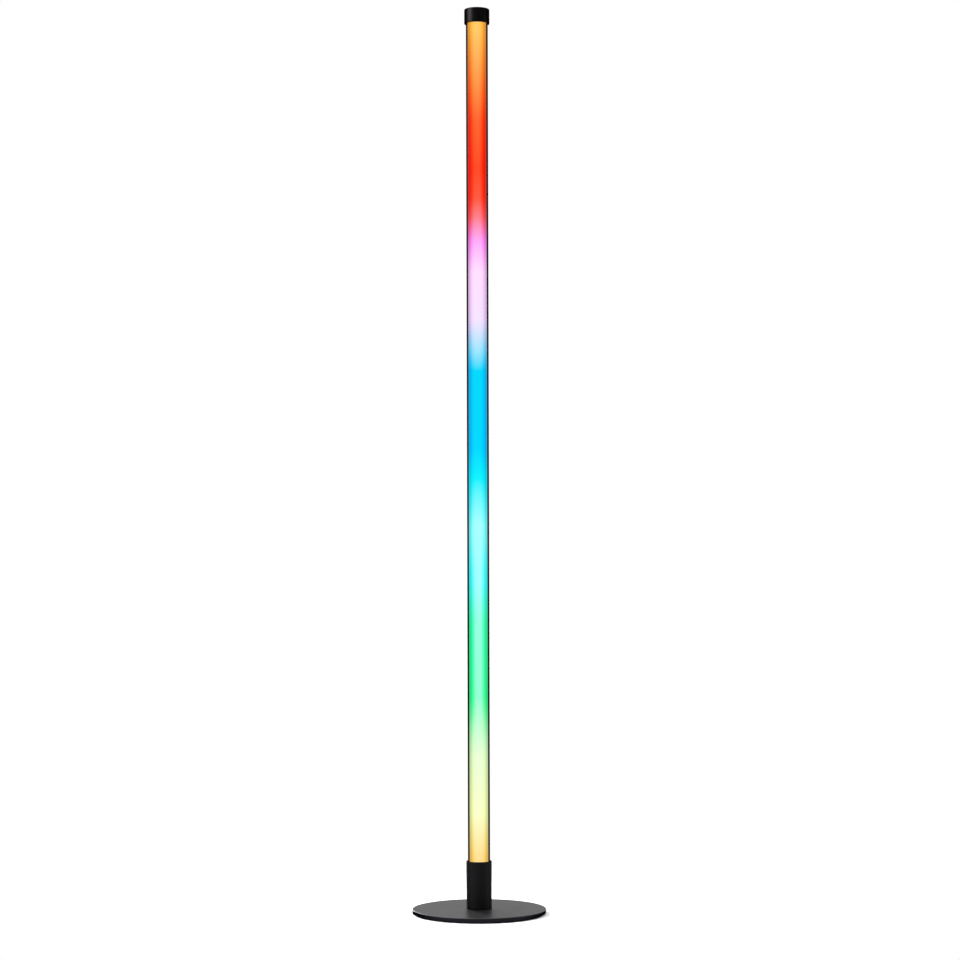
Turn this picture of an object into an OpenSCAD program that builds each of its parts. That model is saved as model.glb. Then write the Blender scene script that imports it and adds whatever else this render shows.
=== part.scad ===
// Corner floor lamp: a round channel pole with a full-length opal front, standing in a sleeve
// on a disc base. Millimetres, +Z up, origin under the middle of the base pad.
// The lit front faces -Y; the power inlet, the button and the set screws are at the back, +Y.

/* [Base] */
// Diameter of the base disc
base_d = 200; // [150:5:300]
// Thickness of the base disc
base_t = 6; // [5:0.5:12]
// Chamfer on the disc's upper edge
base_edge = 0.8; // [0.4:0.1:2]
// Thickness of the pad under the disc
pad_t = 2; // [1:0.5:4]
// How far the pad stays inside the disc's rim
pad_inset = 3; // [1:0.5:10]
// Diameter of the hole in the pad that gives access to the base screw
pad_hole_d = 22; // [18:1:40]

/* [Sleeve] */
// Wall of the sleeve around the pole
sleeve_wall = 2.2; // [1.6:0.1:4]
// Width of the ledge inside the sleeve that the pole stands on
seat_w = 1.8; // [1:0.1:2.4]
// Depth of the pole in the sleeve
pole_insert = 35; // [30:1:60]
// Chamfer on the sleeve's upper edge
sleeve_edge = 0.5; // [0.2:0.1:1]
// Material left in the foot plug between the base screw and the board
plug_floor = 1.3; // [1:0.1:4]
// Depth of the board's slot in the foot plug
board_slot_depth = 2.2; // [1.5:0.1:4]

/* [Pole] */
// Outer diameter of the pole
pole_d = 33; // [30:0.5:42]
// Wall of the channel
channel_wall = 1.6; // [1.2:0.1:2]
// Length of one of the pole's sections
section_l = 436; // [300:1:600]
// Number of sections
section_count = 3; // [3]
// Half angle of the open front, from straight ahead
slot_half = 59; // [45:1:65]
// Distance of the strip's web behind the pole's axis
web_y = 3; // [2:0.1:4]
// Thickness of the web
web_t = 1.6; // [1.2:0.1:2]
// Thickness of the rails that hold the diffuser's tongues
rail_t = 1.2; // [0.8:0.1:1.6]
// Bore of the screw ports in the channel
port_bore_d = 2.5; // [2:0.1:3]
// Wall of the screw ports
port_wall = 0.95; // [0.8:0.05:1.2]
// How far a screw port sinks into the channel's wall
port_sink = 0.6; // [0.3:0.1:0.9]
// Angle of the screw ports from straight behind
port_angle = 55; // [50:1:60]
// Angle between the channel's lip and the start of a rail
rail_lead = 2; // [1:0.5:5]

/* [Joiners] */
// Length of a joiner, half in each section
joiner_l = 80; // [60:1:120]
// Distance of a joiner screw from the joint
joiner_screw_z = 20; // [10:1:25]
// Distance of the upper sleeve screw below the sleeve's rim
sleeve_screw_z = 11; // [6:0.5:12]
// Distance between the two sleeve screws
sleeve_screw_pitch = 13; // [8:0.5:14]

/* [Diffuser] */
// Thickness of the diffuser
diffuser_t = 1.5; // [1:0.1:2]
// Thickness of its tongues
tongue_t = 1.3; // [0.8:0.1:1.6]
// Width of a tongue behind the channel's lip
tongue_w = 3.4; // [2:0.1:5]
// Width of the shoulder that joins a tongue to the diffuser
shoulder_w = 1.6; // [1:0.1:2.5]
// Free space for growth at the diffuser's upper end
diffuser_growth = 1; // [0.5:0.1:2]

/* [Light strip] */
// Width of the strip
strip_w = 10; // [8:0.5:12]
// Thickness of the strip
strip_t = 0.4; // [0.2:0.1:0.6]
// Distance of the strip's ends from the pole's ends
strip_end = 4; // [2:0.5:10]
// Distance from one light package to the next
led_pitch = 16.6; // [10:0.1:40]
// Side of a light package
led_w = 5; // [3.5:0.1:5.5]
// Height of a light package
led_h = 1.6; // [0.8:0.1:2]
// Length of a capacitor
capacitor_l = 2; // [1.2:0.1:3]
// Width of a capacitor
capacitor_w = 1.2; // [0.6:0.1:1.6]
// Height of a capacitor
capacitor_h = 0.8; // [0.4:0.1:1.2]

/* [Top cap] */
// Depth of the pole in the cap
cap_grip = 16; // [10:0.5:30]
// Wall of the cap around the pole
cap_wall = 2.35; // [1.6:0.05:3.5]
// Thickness of the cap's roof
cap_roof = 2.4; // [1.6:0.1:4]
// Radius of the cap's upper edge
cap_edge_r = 1.4; // [0.5:0.1:1.6]
// Width of the step in the cap that rests on the end plate
cap_step_w = 0.8; // [0.5:0.1:0.9]
// Thickness of the end plate
end_plate_t = 1.5; // [1:0.1:3]

/* [Power inlet] */
// Bore of the inlet, for a 5.5 mm plug
inlet_bore_d = 6.4; // [6.2:0.1:6.6]
// Depth of the inlet's bore
inlet_depth = 9.5; // [9:0.1:10]
// Diameter of the inlet's nose
nose_d = 8; // [7.6:0.1:9]
// Diameter of the inlet's centre pin
inlet_pin_d = 2; // [1.6:0.1:2.4]
// Width of the inlet's body
inlet_w = 9; // [8.5:0.1:10]
// Height of the inlet's body
inlet_h = 11; // [10:0.1:12]
// Distance of the inlet's body above the foot plug
inlet_lift = 1; // [0.5:0.1:4]
// Width of the inlet's side contact
contact_w = 3; // [2:0.1:4]
// Thickness of the side contact
contact_t = 0.4; // [0.2:0.1:0.5]
// How far the side contact reaches into the bore
contact_reach = 0.5; // [0.3:0.1:0.8]
// Distance of the centre pin's end inside the nose
pin_recess = 1; // [0.5:0.1:3]

/* [Control] */
// Thickness of the control board
board_t = 1.6; // [1:0.1:2]
// Height of the control board
board_h = 24.2; // [23.5:0.1:35]
// Distance of the board's side edges from the sleeve
board_side_gap = 1; // [0.5:0.1:3]
// Distance of the board's upper edge below the pole
board_top_gap = 2; // [1:0.1:6]
// Diameter of the button
button_d = 7; // [5:0.1:7.5]
// How far the button stands out of the sleeve
button_proud = 0.6; // [0.3:0.1:1]
// Travel of the button
button_travel = 0.5; // [0.2:0.05:0.6]
// Thickness of the flange that keeps the button in
button_flange_t = 1.2; // [0.8:0.1:1.6]
// Width of that flange
button_flange_w = 1.1; // [0.6:0.1:1.3]
// Depth of the flange's seat in the sleeve's wall
button_seat = 0.5; // [0.2:0.1:1]
// Chamfer on the button's face
button_edge = 0.3; // [0.1:0.1:0.3]
// Distance of the button above the inlet
button_rise = 11; // [10.5:0.1:11.5]
// Side of the switch
switch_w = 6; // [5:0.1:6.5]
// Height of the switch
switch_h = 3.5; // [3:0.1:5]
// Thickness of the switch under its plunger
switch_floor = 1.2; // [0.6:0.1:1.6]
// Diameter of the switch's plunger
plunger_d = 3.4; // [2:0.1:4]
// Side of the control chip
chip_w = 7; // [4:0.5:8]
// Height of the control chip
chip_h = 1.2; // [0.8:0.1:2]
// Distance of the chip's middle above the foot plug
chip_rise = 6; // [5:0.5:8]
// Height of the strip's connector
connector_h = 6; // [4:0.5:7]
// Depth of the strip's connector in front of the board
connector_depth = 4.6; // [3.6:0.1:6]
// Wall of the strip's connector beside the outer wires
connector_wall = 1.5; // [0.8:0.1:2]
// Distance of the connector below the board's upper edge
connector_drop = 3; // [1:0.5:5]
// Diameter of a wire of the strip's lead
wire_d = 1.2; // [0.8:0.1:1.6]
// Distance between the wires
wire_pitch = 2; // [1.7:0.1:3]
// Length of wire that lies on the strip
wire_lap = 4; // [2:0.5:8]

/* [Fasteners] */
// Thread diameter of the base screw
base_screw_d = 8; // [6:0.5:10]
// Length of the base screw, with its head
base_screw_l = 14; // [13:0.5:24]
// Diameter of the base screw's countersunk head
base_head_d = 16; // [12:0.5:17]
// Key size of the base screw
base_key = 5; // [3:0.5:5]
// Depth of the base screw's socket
base_key_depth = 3; // [2:0.5:4]
// Thread diameter of the set screws
set_screw_d = 4; // [3:0.5:5]
// Thread length of the set screws in the joiners and the insert
set_screw_bite = 6; // [4:0.1:8]
// Key size of the set screws
set_key = 2; // [1.5:0.1:2]
// Depth of the set screws' sockets
set_key_depth = 2; // [1.5:0.1:3]
// How far the set screws end below the surface
set_recess = 0.3; // [0.1:0.1:0.6]
// Thread diameter of the end plate's screws
tap_screw_d = 2.5; // [2:0.1:3]
// Length of the end plate's screws under the head
tap_screw_l = 9.5; // [6:0.5:16]
// Diameter of the end plate's screw heads
tap_head_d = 5; // [4:0.1:5.2]
// Height of the end plate's screw heads
tap_head_h = 1.6; // [1:0.1:2.4]
// Width of the cross in those heads
tap_cross_w = 0.6; // [0.4:0.1:0.9]
// Length of the cross
tap_cross_l = 3.2; // [2:0.1:3.6]
// Depth of the cross
tap_cross_depth = 0.8; // [0.5:0.1:0.9]

/* [Fits] */
// Gap around the pole in the sleeve
sleeve_fit = 0.3; // [0.1:0.05:0.5]
// Gap around the pole in the cap
cap_fit = 0.15; // [0.05:0.05:0.3]
// Gap between the diffuser and the channel
diffuser_fit = 0.2; // [0.1:0.05:0.4]
// Gap around a joiner in the channel
joiner_fit = 0.25; // [0.1:0.05:0.5]
// Gap around the inlet's nose and the button
panel_fit = 0.2; // [0.1:0.05:0.4]
// Gap around a screw in a clearance hole
screw_fit = 0.1; // [0.05:0.05:0.4]
// Play of the button and its plunger along their travel
button_play = 0.1; // [0.05:0.05:0.2]
// Free space in front of a moving face or a screw's end
end_gap = 0.5; // [0.3:0.1:1]

/* [Hidden] */
$fn = 96;

// Cuts run this far past the faces that they open
cut = 1;

// Radii
base_r = base_d / 2;
pole_r = pole_d / 2;
channel_r = pole_r - channel_wall;
sleeve_bore_r = pole_r + sleeve_fit;
sleeve_r = sleeve_bore_r + sleeve_wall;
chamber_r = sleeve_bore_r - seat_w;
set_r = set_screw_d / 2;
set_hole_r = set_r + screw_fit;

// Heights
disc_z = pad_t;
sleeve_z = disc_z + base_t;
screw_top_z = disc_z + base_screw_l;
board_z = screw_top_z + end_gap + plug_floor;
plug_top_z = board_z + board_slot_depth;
pole_z = board_z + board_h + board_top_gap;
sleeve_top_z = pole_z + pole_insert;
pole_top_z = pole_z + section_count * section_l;
cap_z = pole_top_z - cap_grip;
cap_step_z = pole_top_z + end_plate_t;
roof_z = cap_step_z + tap_head_h + end_gap;
cap_top_z = roof_z + cap_roof;

// The control parts stand behind the board's back face
board_back_y = web_y + board_t;
inlet_z = plug_top_z + inlet_lift + inlet_h / 2;
button_z = inlet_z + button_rise;
inlet_face_y = chord(chamber_r, inlet_w / 2) - 2 * panel_fit;
nose_y = sleeve_r - set_recess;
button_seat_y = chamber_r + button_seat;
button_flange_y = button_seat_y - button_play;
button_back_y = button_flange_y - button_flange_t;
button_r = button_d / 2;
flange_r = button_r + button_flange_w;
wire_y = web_y - strip_t - wire_d / 2;
connector_w = 2 * wire_pitch + wire_d + 2 * connector_wall;
connector_top_z = board_z + board_h - connector_drop;
contact_z = inlet_z - inlet_bore_d / 2 + contact_reach - contact_t / 2;
switch_floor_y = board_back_y + switch_floor;

// The diffuser's edges, as angles from straight ahead
diffuser_half = slot_half - arc_angle(2 * diffuser_fit, pole_r);
tongue_r = channel_r - diffuser_fit;
tongue_in_r = tongue_r - tongue_t;
tongue_a = slot_half + arc_angle(tongue_w, tongue_r);
shoulder_a = diffuser_half - arc_angle(shoulder_w, tongue_r);
rail_r = tongue_in_r - diffuser_fit;
rail_a = acos(-(web_y + web_t / 2) / rail_r);

// Screw ports stand on the channel's inside wall
port_r = port_bore_d / 2 + port_wall;
port_pos_r = channel_r - port_r + port_sink;
port_x = port_pos_r * sin(port_angle);
port_y = port_pos_r * cos(port_angle);
joiner_half_w = port_x - port_r - 3 * joiner_fit;

// The joiners' rearmost line, and the heights of the set screws that hold them and the sleeve
joiner_back_y = channel_r - joiner_fit;
joint_heights = [for (i = [1:section_count - 1]) pole_z + i * section_l];
joiner_screw_heights = [for (z = joint_heights, s = [-1, 1]) z + s * joiner_screw_z];
sleeve_screw_heights = [for (i = [0, 1]) sleeve_top_z - sleeve_screw_z - i * sleeve_screw_pitch];

// The light strip lies on the front of the web
strip_face_y = web_y - strip_t;
strip_z = pole_z + strip_end;
strip_l = section_count * section_l - 2 * strip_end;
led_count = floor((strip_l - 2 * wire_lap) / led_pitch);
led_z = strip_z + (strip_l - (led_count - 1) * led_pitch) / 2;

// Height of a chord of a circle of radius r at the distance x from the middle
function chord(r, x) = sqrt(r * r - x * x);
// Angle of an arc of length l on a circle of radius r
function arc_angle(l, r) = l / r * 180 / PI;
// Point at the angle a from straight ahead
function ahead(a, r) = [r * sin(a), -r * cos(a)];

// A wedge from the axis between two angles from straight ahead, wider than any circle here
module wedge(a0, a1) {
    reach = 3 * pole_r;
    polygon([[0, 0], ahead(a0, reach), ahead((a0 + a1) / 2, reach), ahead(a1, reach)]);
}

module ring(r, wall) {
    difference() {
        circle(r = r);
        circle(r = r - wall);
    }
}

module arc_band(r, wall, a0, a1) {
    intersection() {
        ring(r, wall);
        wedge(a0, a1);
    }
}

// A hole or a rod along +Y at the height z, between two distances from the pole's axis
module along_y(r, y0, y1, z, x = 0) {
    translate([x, y0, z]) rotate([-90, 0, 0]) cylinder(r = r, h = y1 - y0);
}

// A box given by its middle in X and Z and its two faces in Y
module block(w, h, y0, y1, z) {
    translate([-w / 2, y0, z - h / 2]) cube([w, y1 - y0, h]);
}

// A hexagonal socket, by its key size
module hex_socket(key, depth) {
    cylinder(d = key / cos(30), h = depth, $fn = 6);
}

// A set screw at the back, from inside a joiner to its socket end at y
module set_screw(y, z) {
    difference() {
        along_y(set_r, joiner_back_y - set_screw_bite, y, z);
        translate([0, y + cut, z]) rotate([90, 0, 0]) hex_socket(set_key, set_key_depth + cut);
    }
}

module channel_profile() {
    difference() {
        union() {
            difference() {
                ring(pole_r, channel_wall);
                wedge(-slot_half, slot_half);
            }
            intersection() {
                circle(r = pole_r - channel_wall / 2);
                translate([-pole_r, web_y]) square([pole_d, web_t]);
            }
            for (s = [-1, 1]) {
                arc_band(rail_r, rail_t, s * (slot_half + rail_lead), s * rail_a);
                translate([s * port_x, port_y]) circle(r = port_r);
            }
        }
        for (s = [-1, 1]) translate([s * port_x, port_y]) circle(d = port_bore_d);
    }
}

// One section of the pole, the i-th from below, with the clearance holes of its set screws
module channel(i) {
    z0 = pole_z + i * section_l;
    difference() {
        translate([0, 0, z0]) linear_extrude(section_l) channel_profile();
        for (z = concat(joiner_screw_heights, sleeve_screw_heights)) {
            if (z > z0 && z < z0 + section_l) along_y(set_hole_r, channel_r - cut, pole_r + cut, z);
        }
    }
}

// A bar that fills the space behind the web, with threaded holes for its set screws
module joiner(z0, length, screw_heights) {
    y0 = web_y + web_t + joiner_fit;
    difference() {
        translate([0, 0, z0]) linear_extrude(length) intersection() {
            circle(r = joiner_back_y);
            translate([-joiner_half_w, y0]) square([2 * joiner_half_w, pole_r]);
        }
        for (z = screw_heights) {
            along_y(set_r, joiner_back_y - set_screw_bite - end_gap, pole_r, z);
        }
    }
}

module joint_bar(i) {
    joint_z = joint_heights[i];
    joiner(joint_z - joiner_l / 2, joiner_l, [joint_z - joiner_screw_z, joint_z + joiner_screw_z]);
}

module base_disc() color("#26272a") {
    difference() {
        translate([0, 0, disc_z]) rotate_extrude() polygon([[0, 0], [base_r, 0], [base_r, base_t - base_edge],
            [base_r - base_edge, base_t], [0, base_t]]);
        base_screw_body(screw_fit, cut);
    }
}

module base_pad() color("#141414") {
    linear_extrude(pad_t) ring(base_r - pad_inset, base_r - pad_inset - pad_hole_d / 2);
}

// The countersunk screw's outside, grown by gap and run on downwards by extra below its head
module base_screw_body(gap, extra) {
    head_h = (base_head_d - base_screw_d) / 2;
    translate([0, 0, disc_z - extra]) cylinder(d = base_head_d, h = extra);
    translate([0, 0, disc_z]) cylinder(d1 = base_head_d, d2 = base_screw_d, h = head_h);
    translate([0, 0, disc_z]) cylinder(d = base_screw_d + 2 * gap, h = base_screw_l);
}

module base_screw() color("#b9bcc0") {
    difference() {
        base_screw_body(0, 0);
        translate([0, 0, disc_z - cut]) hex_socket(base_key, base_key_depth + cut);
    }
}

module base_sleeve() color("#1b1b1c") {
    difference() {
        rotate_extrude() polygon([[chamber_r, sleeve_z], [sleeve_r, sleeve_z],
            [sleeve_r, sleeve_top_z - sleeve_edge], [sleeve_r - sleeve_edge, sleeve_top_z],
            [sleeve_bore_r, sleeve_top_z], [sleeve_bore_r, pole_z], [chamber_r, pole_z]]);
        along_y(nose_d / 2 + panel_fit, 0, sleeve_r + cut, inlet_z);
        along_y(button_r + panel_fit, 0, sleeve_r + cut, button_z);
        along_y(flange_r + panel_fit, 0, button_seat_y, button_z);
        for (z = sleeve_screw_heights) along_y(set_r, 0, sleeve_r + cut, z);
    }
}

module sleeve_foot_plug() color("#8f9296") {
    difference() {
        translate([0, 0, sleeve_z]) cylinder(r = chamber_r, h = plug_top_z - sleeve_z);
        translate([0, 0, sleeve_z - cut])
            cylinder(d = base_screw_d, h = screw_top_z + end_gap - sleeve_z + cut);
        translate([-pole_r, web_y, board_z]) cube([pole_d, board_t, board_slot_depth + cut]);
    }
}

module sleeve_set_screws() color("#9a9da1") {
    for (z = sleeve_screw_heights) set_screw(sleeve_r - set_recess, z);
}

module foot_insert() color("#a8abaf") {
    joiner(pole_z, pole_insert, sleeve_screw_heights);
}

module channel_lower() color("#17181a") channel(0);

module channel_middle() color("#17181a") channel(1);

module channel_upper() color("#17181a") channel(2);

module joiner_lower() color("#a8abaf") joint_bar(0);

module joiner_upper() color("#a8abaf") joint_bar(1);

module joiner_set_screws() color("#9a9da1") {
    for (z = joiner_screw_heights) set_screw(pole_r - set_recess, z);
}

module diffuser() color("#f4f1ea") {
    translate([0, 0, pole_z]) linear_extrude(pole_top_z - pole_z - diffuser_growth) {
        arc_band(pole_r, diffuser_t, -diffuser_half, diffuser_half);
        for (s = [-1, 1]) {
            arc_band(pole_r - diffuser_t / 2, pole_r - diffuser_t / 2 - tongue_in_r,
                s * shoulder_a, s * diffuser_half);
            arc_band(tongue_r, tongue_t, s * shoulder_a, s * tongue_a);
        }
    }
}

module light_strip() color("#efefe9") {
    translate([-strip_w / 2, strip_face_y, strip_z]) cube([strip_w, strip_t, strip_l]);
}

module light_packages() color("#fff6d8") {
    for (i = [0:led_count - 1]) {
        block(led_w, led_w, strip_face_y - led_h, strip_face_y, led_z + i * led_pitch);
    }
}

module strip_capacitors() color("#a88a5c") {
    top_y = strip_face_y - capacitor_h;
    for (i = [0:led_count - 2]) {
        block(capacitor_l, capacitor_w, top_y, strip_face_y, led_z + (i + 0.5) * led_pitch);
    }
}

module strip_lead() color("#b02a24") {
    for (i = [-1:1]) {
        translate([i * wire_pitch, wire_y, connector_top_z])
            cylinder(d = wire_d, h = strip_z + wire_lap - connector_top_z, $fn = 24);
    }
}

module control_board() color("#1f5a34") {
    w = 2 * (chord(chamber_r, board_back_y) - board_side_gap);
    block(w, board_h, web_y, board_back_y, board_z + board_h / 2);
}

module control_chip() color("#202226") {
    block(chip_w, chip_w, web_y - chip_h, web_y, plug_top_z + chip_rise);
}

module strip_connector() color("#e9e6da") {
    block(connector_w, connector_h, web_y - connector_depth, web_y, connector_top_z - connector_h / 2);
}

// The side contact lies in a slot along the bottom of the bore
module inlet_contact_shape() {
    block(contact_w, contact_t, board_back_y, nose_y - 2 * pin_recess, contact_z);
}

module inlet_body() color("#1a1a1a") {
    difference() {
        union() {
            block(inlet_w, inlet_h, board_back_y, inlet_face_y, inlet_z);
            along_y(nose_d / 2, inlet_face_y - cut, nose_y, inlet_z);
        }
        along_y(inlet_bore_d / 2, nose_y - inlet_depth, nose_y + cut, inlet_z);
        along_y(inlet_pin_d / 2, board_back_y - cut, nose_y, inlet_z);
        inlet_contact_shape();
    }
}

module inlet_pin() color("#c9a44a") {
    along_y(inlet_pin_d / 2, board_back_y, nose_y - pin_recess, inlet_z);
}

module inlet_contact() color("#c9a44a") inlet_contact_shape();

module switch_body() color("#2a2b2e") {
    difference() {
        block(switch_w, switch_w, board_back_y, board_back_y + switch_h, button_z);
        along_y(plunger_d / 2 + panel_fit, switch_floor_y, board_back_y + switch_h + cut, button_z);
    }
}

module switch_plunger() color("#f0f0f0") {
    along_y(plunger_d / 2, switch_floor_y + button_travel + button_play, button_back_y, button_z);
}

module mode_button() color("#2c2d30") {
    face_y = sleeve_r + button_proud;
    along_y(flange_r, button_back_y, button_flange_y, button_z);
    along_y(button_r, button_flange_y, face_y - button_edge, button_z);
    translate([0, face_y - button_edge, button_z]) rotate([-90, 0, 0])
        cylinder(r1 = button_r, r2 = button_r - button_edge, h = button_edge);
}

module end_plate() color("#17181a") {
    difference() {
        translate([0, 0, pole_top_z]) cylinder(r = pole_r, h = end_plate_t);
        for (s = [-1, 1]) {
            translate([s * port_x, port_y, pole_top_z - cut])
                cylinder(d = tap_screw_d + 2 * screw_fit, h = end_plate_t + 2 * cut);
        }
    }
}

module end_plate_screws() color("#b9bcc0") {
    for (s = [-1, 1]) translate([s * port_x, port_y, cap_step_z]) {
        difference() {
            union() {
                cylinder(d = tap_head_d, h = tap_head_h);
                translate([0, 0, -tap_screw_l]) cylinder(d = tap_screw_d, h = tap_screw_l + tap_head_h / 2);
            }
            for (a = [0, 90]) rotate([0, 0, a]) {
                translate([-tap_cross_l / 2, -tap_cross_w / 2, tap_head_h - tap_cross_depth])
                    cube([tap_cross_l, tap_cross_w, tap_head_h]);
            }
        }
    }
}

module top_cap() color("#151516") {
    bore_r = pole_r + cap_fit;
    cap_r = bore_r + cap_wall;
    rotate_extrude() difference() {
        union() {
            translate([0, cap_z]) square([cap_r, cap_top_z - cap_edge_r - cap_z]);
            translate([0, cap_z]) square([cap_r - cap_edge_r, cap_top_z - cap_z]);
            translate([cap_r - cap_edge_r, cap_top_z - cap_edge_r]) circle(r = cap_edge_r);
        }
        translate([0, cap_z - cut]) square([bore_r, cap_step_z - cap_z + cut]);
        square([bore_r - cap_step_w, roof_z]);
    }
}

base_disc();
base_pad();
base_screw();
base_sleeve();
sleeve_foot_plug();
sleeve_set_screws();
foot_insert();
channel_lower();
channel_middle();
channel_upper();
joiner_lower();
joiner_upper();
joiner_set_screws();
diffuser();
light_strip();
light_packages();
strip_capacitors();
strip_lead();
control_board();
control_chip();
strip_connector();
inlet_body();
inlet_pin();
inlet_contact();
switch_body();
switch_plunger();
mode_button();
end_plate();
end_plate_screws();
top_cap();
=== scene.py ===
"""The looks of a corner floor lamp: a round channel pole with a glowing opal front.

The pole stands in a sleeve on a disc base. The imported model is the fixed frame: every piece is made in
metres around it, with +Z up and the lit front towards -Y. Each sub-assembly is a class of its own.
"""

from __future__ import annotations

import logging
import math
from collections.abc import Callable, Iterable, Mapping, Sequence
from dataclasses import dataclass, field
from enum import Enum
from functools import cache
from typing import Any

import bmesh
import bpy
from mathutils import Matrix, Vector

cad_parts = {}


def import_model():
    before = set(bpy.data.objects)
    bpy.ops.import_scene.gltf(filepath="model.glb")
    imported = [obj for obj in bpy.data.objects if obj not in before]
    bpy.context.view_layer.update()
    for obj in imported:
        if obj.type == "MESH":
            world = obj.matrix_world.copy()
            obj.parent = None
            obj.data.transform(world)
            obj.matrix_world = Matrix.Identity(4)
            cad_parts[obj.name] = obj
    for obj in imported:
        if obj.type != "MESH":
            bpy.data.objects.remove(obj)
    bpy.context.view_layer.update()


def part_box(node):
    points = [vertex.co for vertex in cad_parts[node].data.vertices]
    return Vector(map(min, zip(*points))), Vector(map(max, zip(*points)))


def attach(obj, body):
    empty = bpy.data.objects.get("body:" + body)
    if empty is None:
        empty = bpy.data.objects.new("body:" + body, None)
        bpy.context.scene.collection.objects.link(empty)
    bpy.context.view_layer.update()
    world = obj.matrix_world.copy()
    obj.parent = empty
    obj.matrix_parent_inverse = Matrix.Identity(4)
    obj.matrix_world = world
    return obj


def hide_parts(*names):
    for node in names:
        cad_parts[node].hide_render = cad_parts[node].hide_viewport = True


LOG = logging.getLogger("floor_lamp")
MM = 0.001
SMOOTH_ANGLE = math.radians(32)  # faces that meet at less than this are shaded as one
WELD = 0.001 * MM  # points of a finished mesh that lie this close become one
TOUCHING = 0.0001 * MM  # and so do points of a new mesh at this distance
ON_AXIS = 1e-9  # a smaller radius lies on the axis
NOISE_FALLOFF = 0.55  # how strong each finer layer of a noise is, against the one before
HOLE_STEPS = 64  # how many steps a round hole has

Point = tuple[float, float]
Span = tuple[float, float]
Colour = tuple[float, float, float, float]
Sockets = dict[int | str, Any]
Loop = Sequence[bmesh.types.BMVert]


def srgb(code: str) -> Colour:
    """Turns a colour as it looks on screen into linear light.

    Args:
        code: the colour as "#rrggbb".

    Returns:
        Linear red, green and blue, and an alpha of 1.
    """
    parts = [int(code[i : i + 2], 16) / 255 for i in (1, 3, 5)]
    red, green, blue = (p / 12.92 if p <= 0.04045 else ((p + 0.055) / 1.055) ** 2.4 for p in parts)
    return (red, green, blue, 1.0)


def toned(code: str, gain: float, lift: float = 0.0) -> Colour:
    """Makes a colour lighter or darker, in linear light.

    Args:
        code: the colour as "#rrggbb".
        gain: the factor on its red, green and blue.
        lift: what is added to each of them.

    Returns:
        The new colour, of which no part is over 1.
    """
    red, green, blue = (min(1.0, gain * part + lift) for part in srgb(code)[:3])
    return (red, green, blue, 1.0)


# ---------------------------------------------------------------------------------------------
# Node trees as expressions
# ---------------------------------------------------------------------------------------------


class Expr:
    """A socket of a node tree, so that maths on numbers reads as a Python expression."""

    __slots__ = ("graph", "socket")

    def __init__(self, graph: Graph, socket: bpy.types.NodeSocket) -> None:
        """Wraps a socket of the graph."""
        self.graph = graph
        self.socket = socket

    def _math(self, operation: str, *values: Expr | float) -> Expr:
        """Adds one Math node."""
        return self.graph.add("ShaderNodeMath", {"operation": operation}, dict(enumerate(values)))

    def __add__(self, other: Expr | float) -> Expr:
        """Sum of two numbers."""
        return self._math("ADD", self, other)

    __radd__ = __add__

    def __sub__(self, other: Expr | float) -> Expr:
        """This number less another."""
        return self._math("SUBTRACT", self, other)

    def __rsub__(self, other: Expr | float) -> Expr:
        """Another number less this one."""
        return self._math("SUBTRACT", other, self)

    def __mul__(self, other: Expr | float) -> Expr:
        """Product of two numbers."""
        return self._math("MULTIPLY", self, other)

    __rmul__ = __mul__

    def __truediv__(self, other: Expr | float) -> Expr:
        """This number divided by another."""
        return self._math("DIVIDE", self, other)

    def __abs__(self) -> Expr:
        """Size of the number without its sign."""
        return self._math("ABSOLUTE", self)

    def root(self) -> Expr:
        """Square root of the number."""
        return self._math("SQRT", self)

    def or_more(self, other: Expr | float) -> Expr:
        """The larger of two numbers."""
        return self._math("MAXIMUM", self, other)

    def swing(self, amount: float) -> Expr:
        """Turns a number from 0 to 1 into one that swings about 0, by this much in all."""
        return (self - 0.5) * amount

    def repeated(self, pitch: float) -> Expr:
        """Place within a pattern that repeats every pitch, from 0 to 1."""
        return self._math("FRACT", self / pitch)

    def rising(self, low: float, high: float) -> Expr:
        """Rises smoothly from 0 at low to 1 at high.

        Args:
            low: where the rise starts.
            high: where it ends.

        Returns:
            A number from 0 to 1.
        """
        settings = {"interpolation_type": "SMOOTHSTEP"}
        inputs = {"Value": self, "From Min": low, "From Max": high}
        return self.graph.add("ShaderNodeMapRange", settings, inputs)

    def band(self, low: float, high: float, soft: float) -> Expr:
        """Is 1 between low and high and fades to 0 over soft on both sides."""
        return self.rising(low - soft, low) * (1 - self.rising(high, high + soft))


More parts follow.
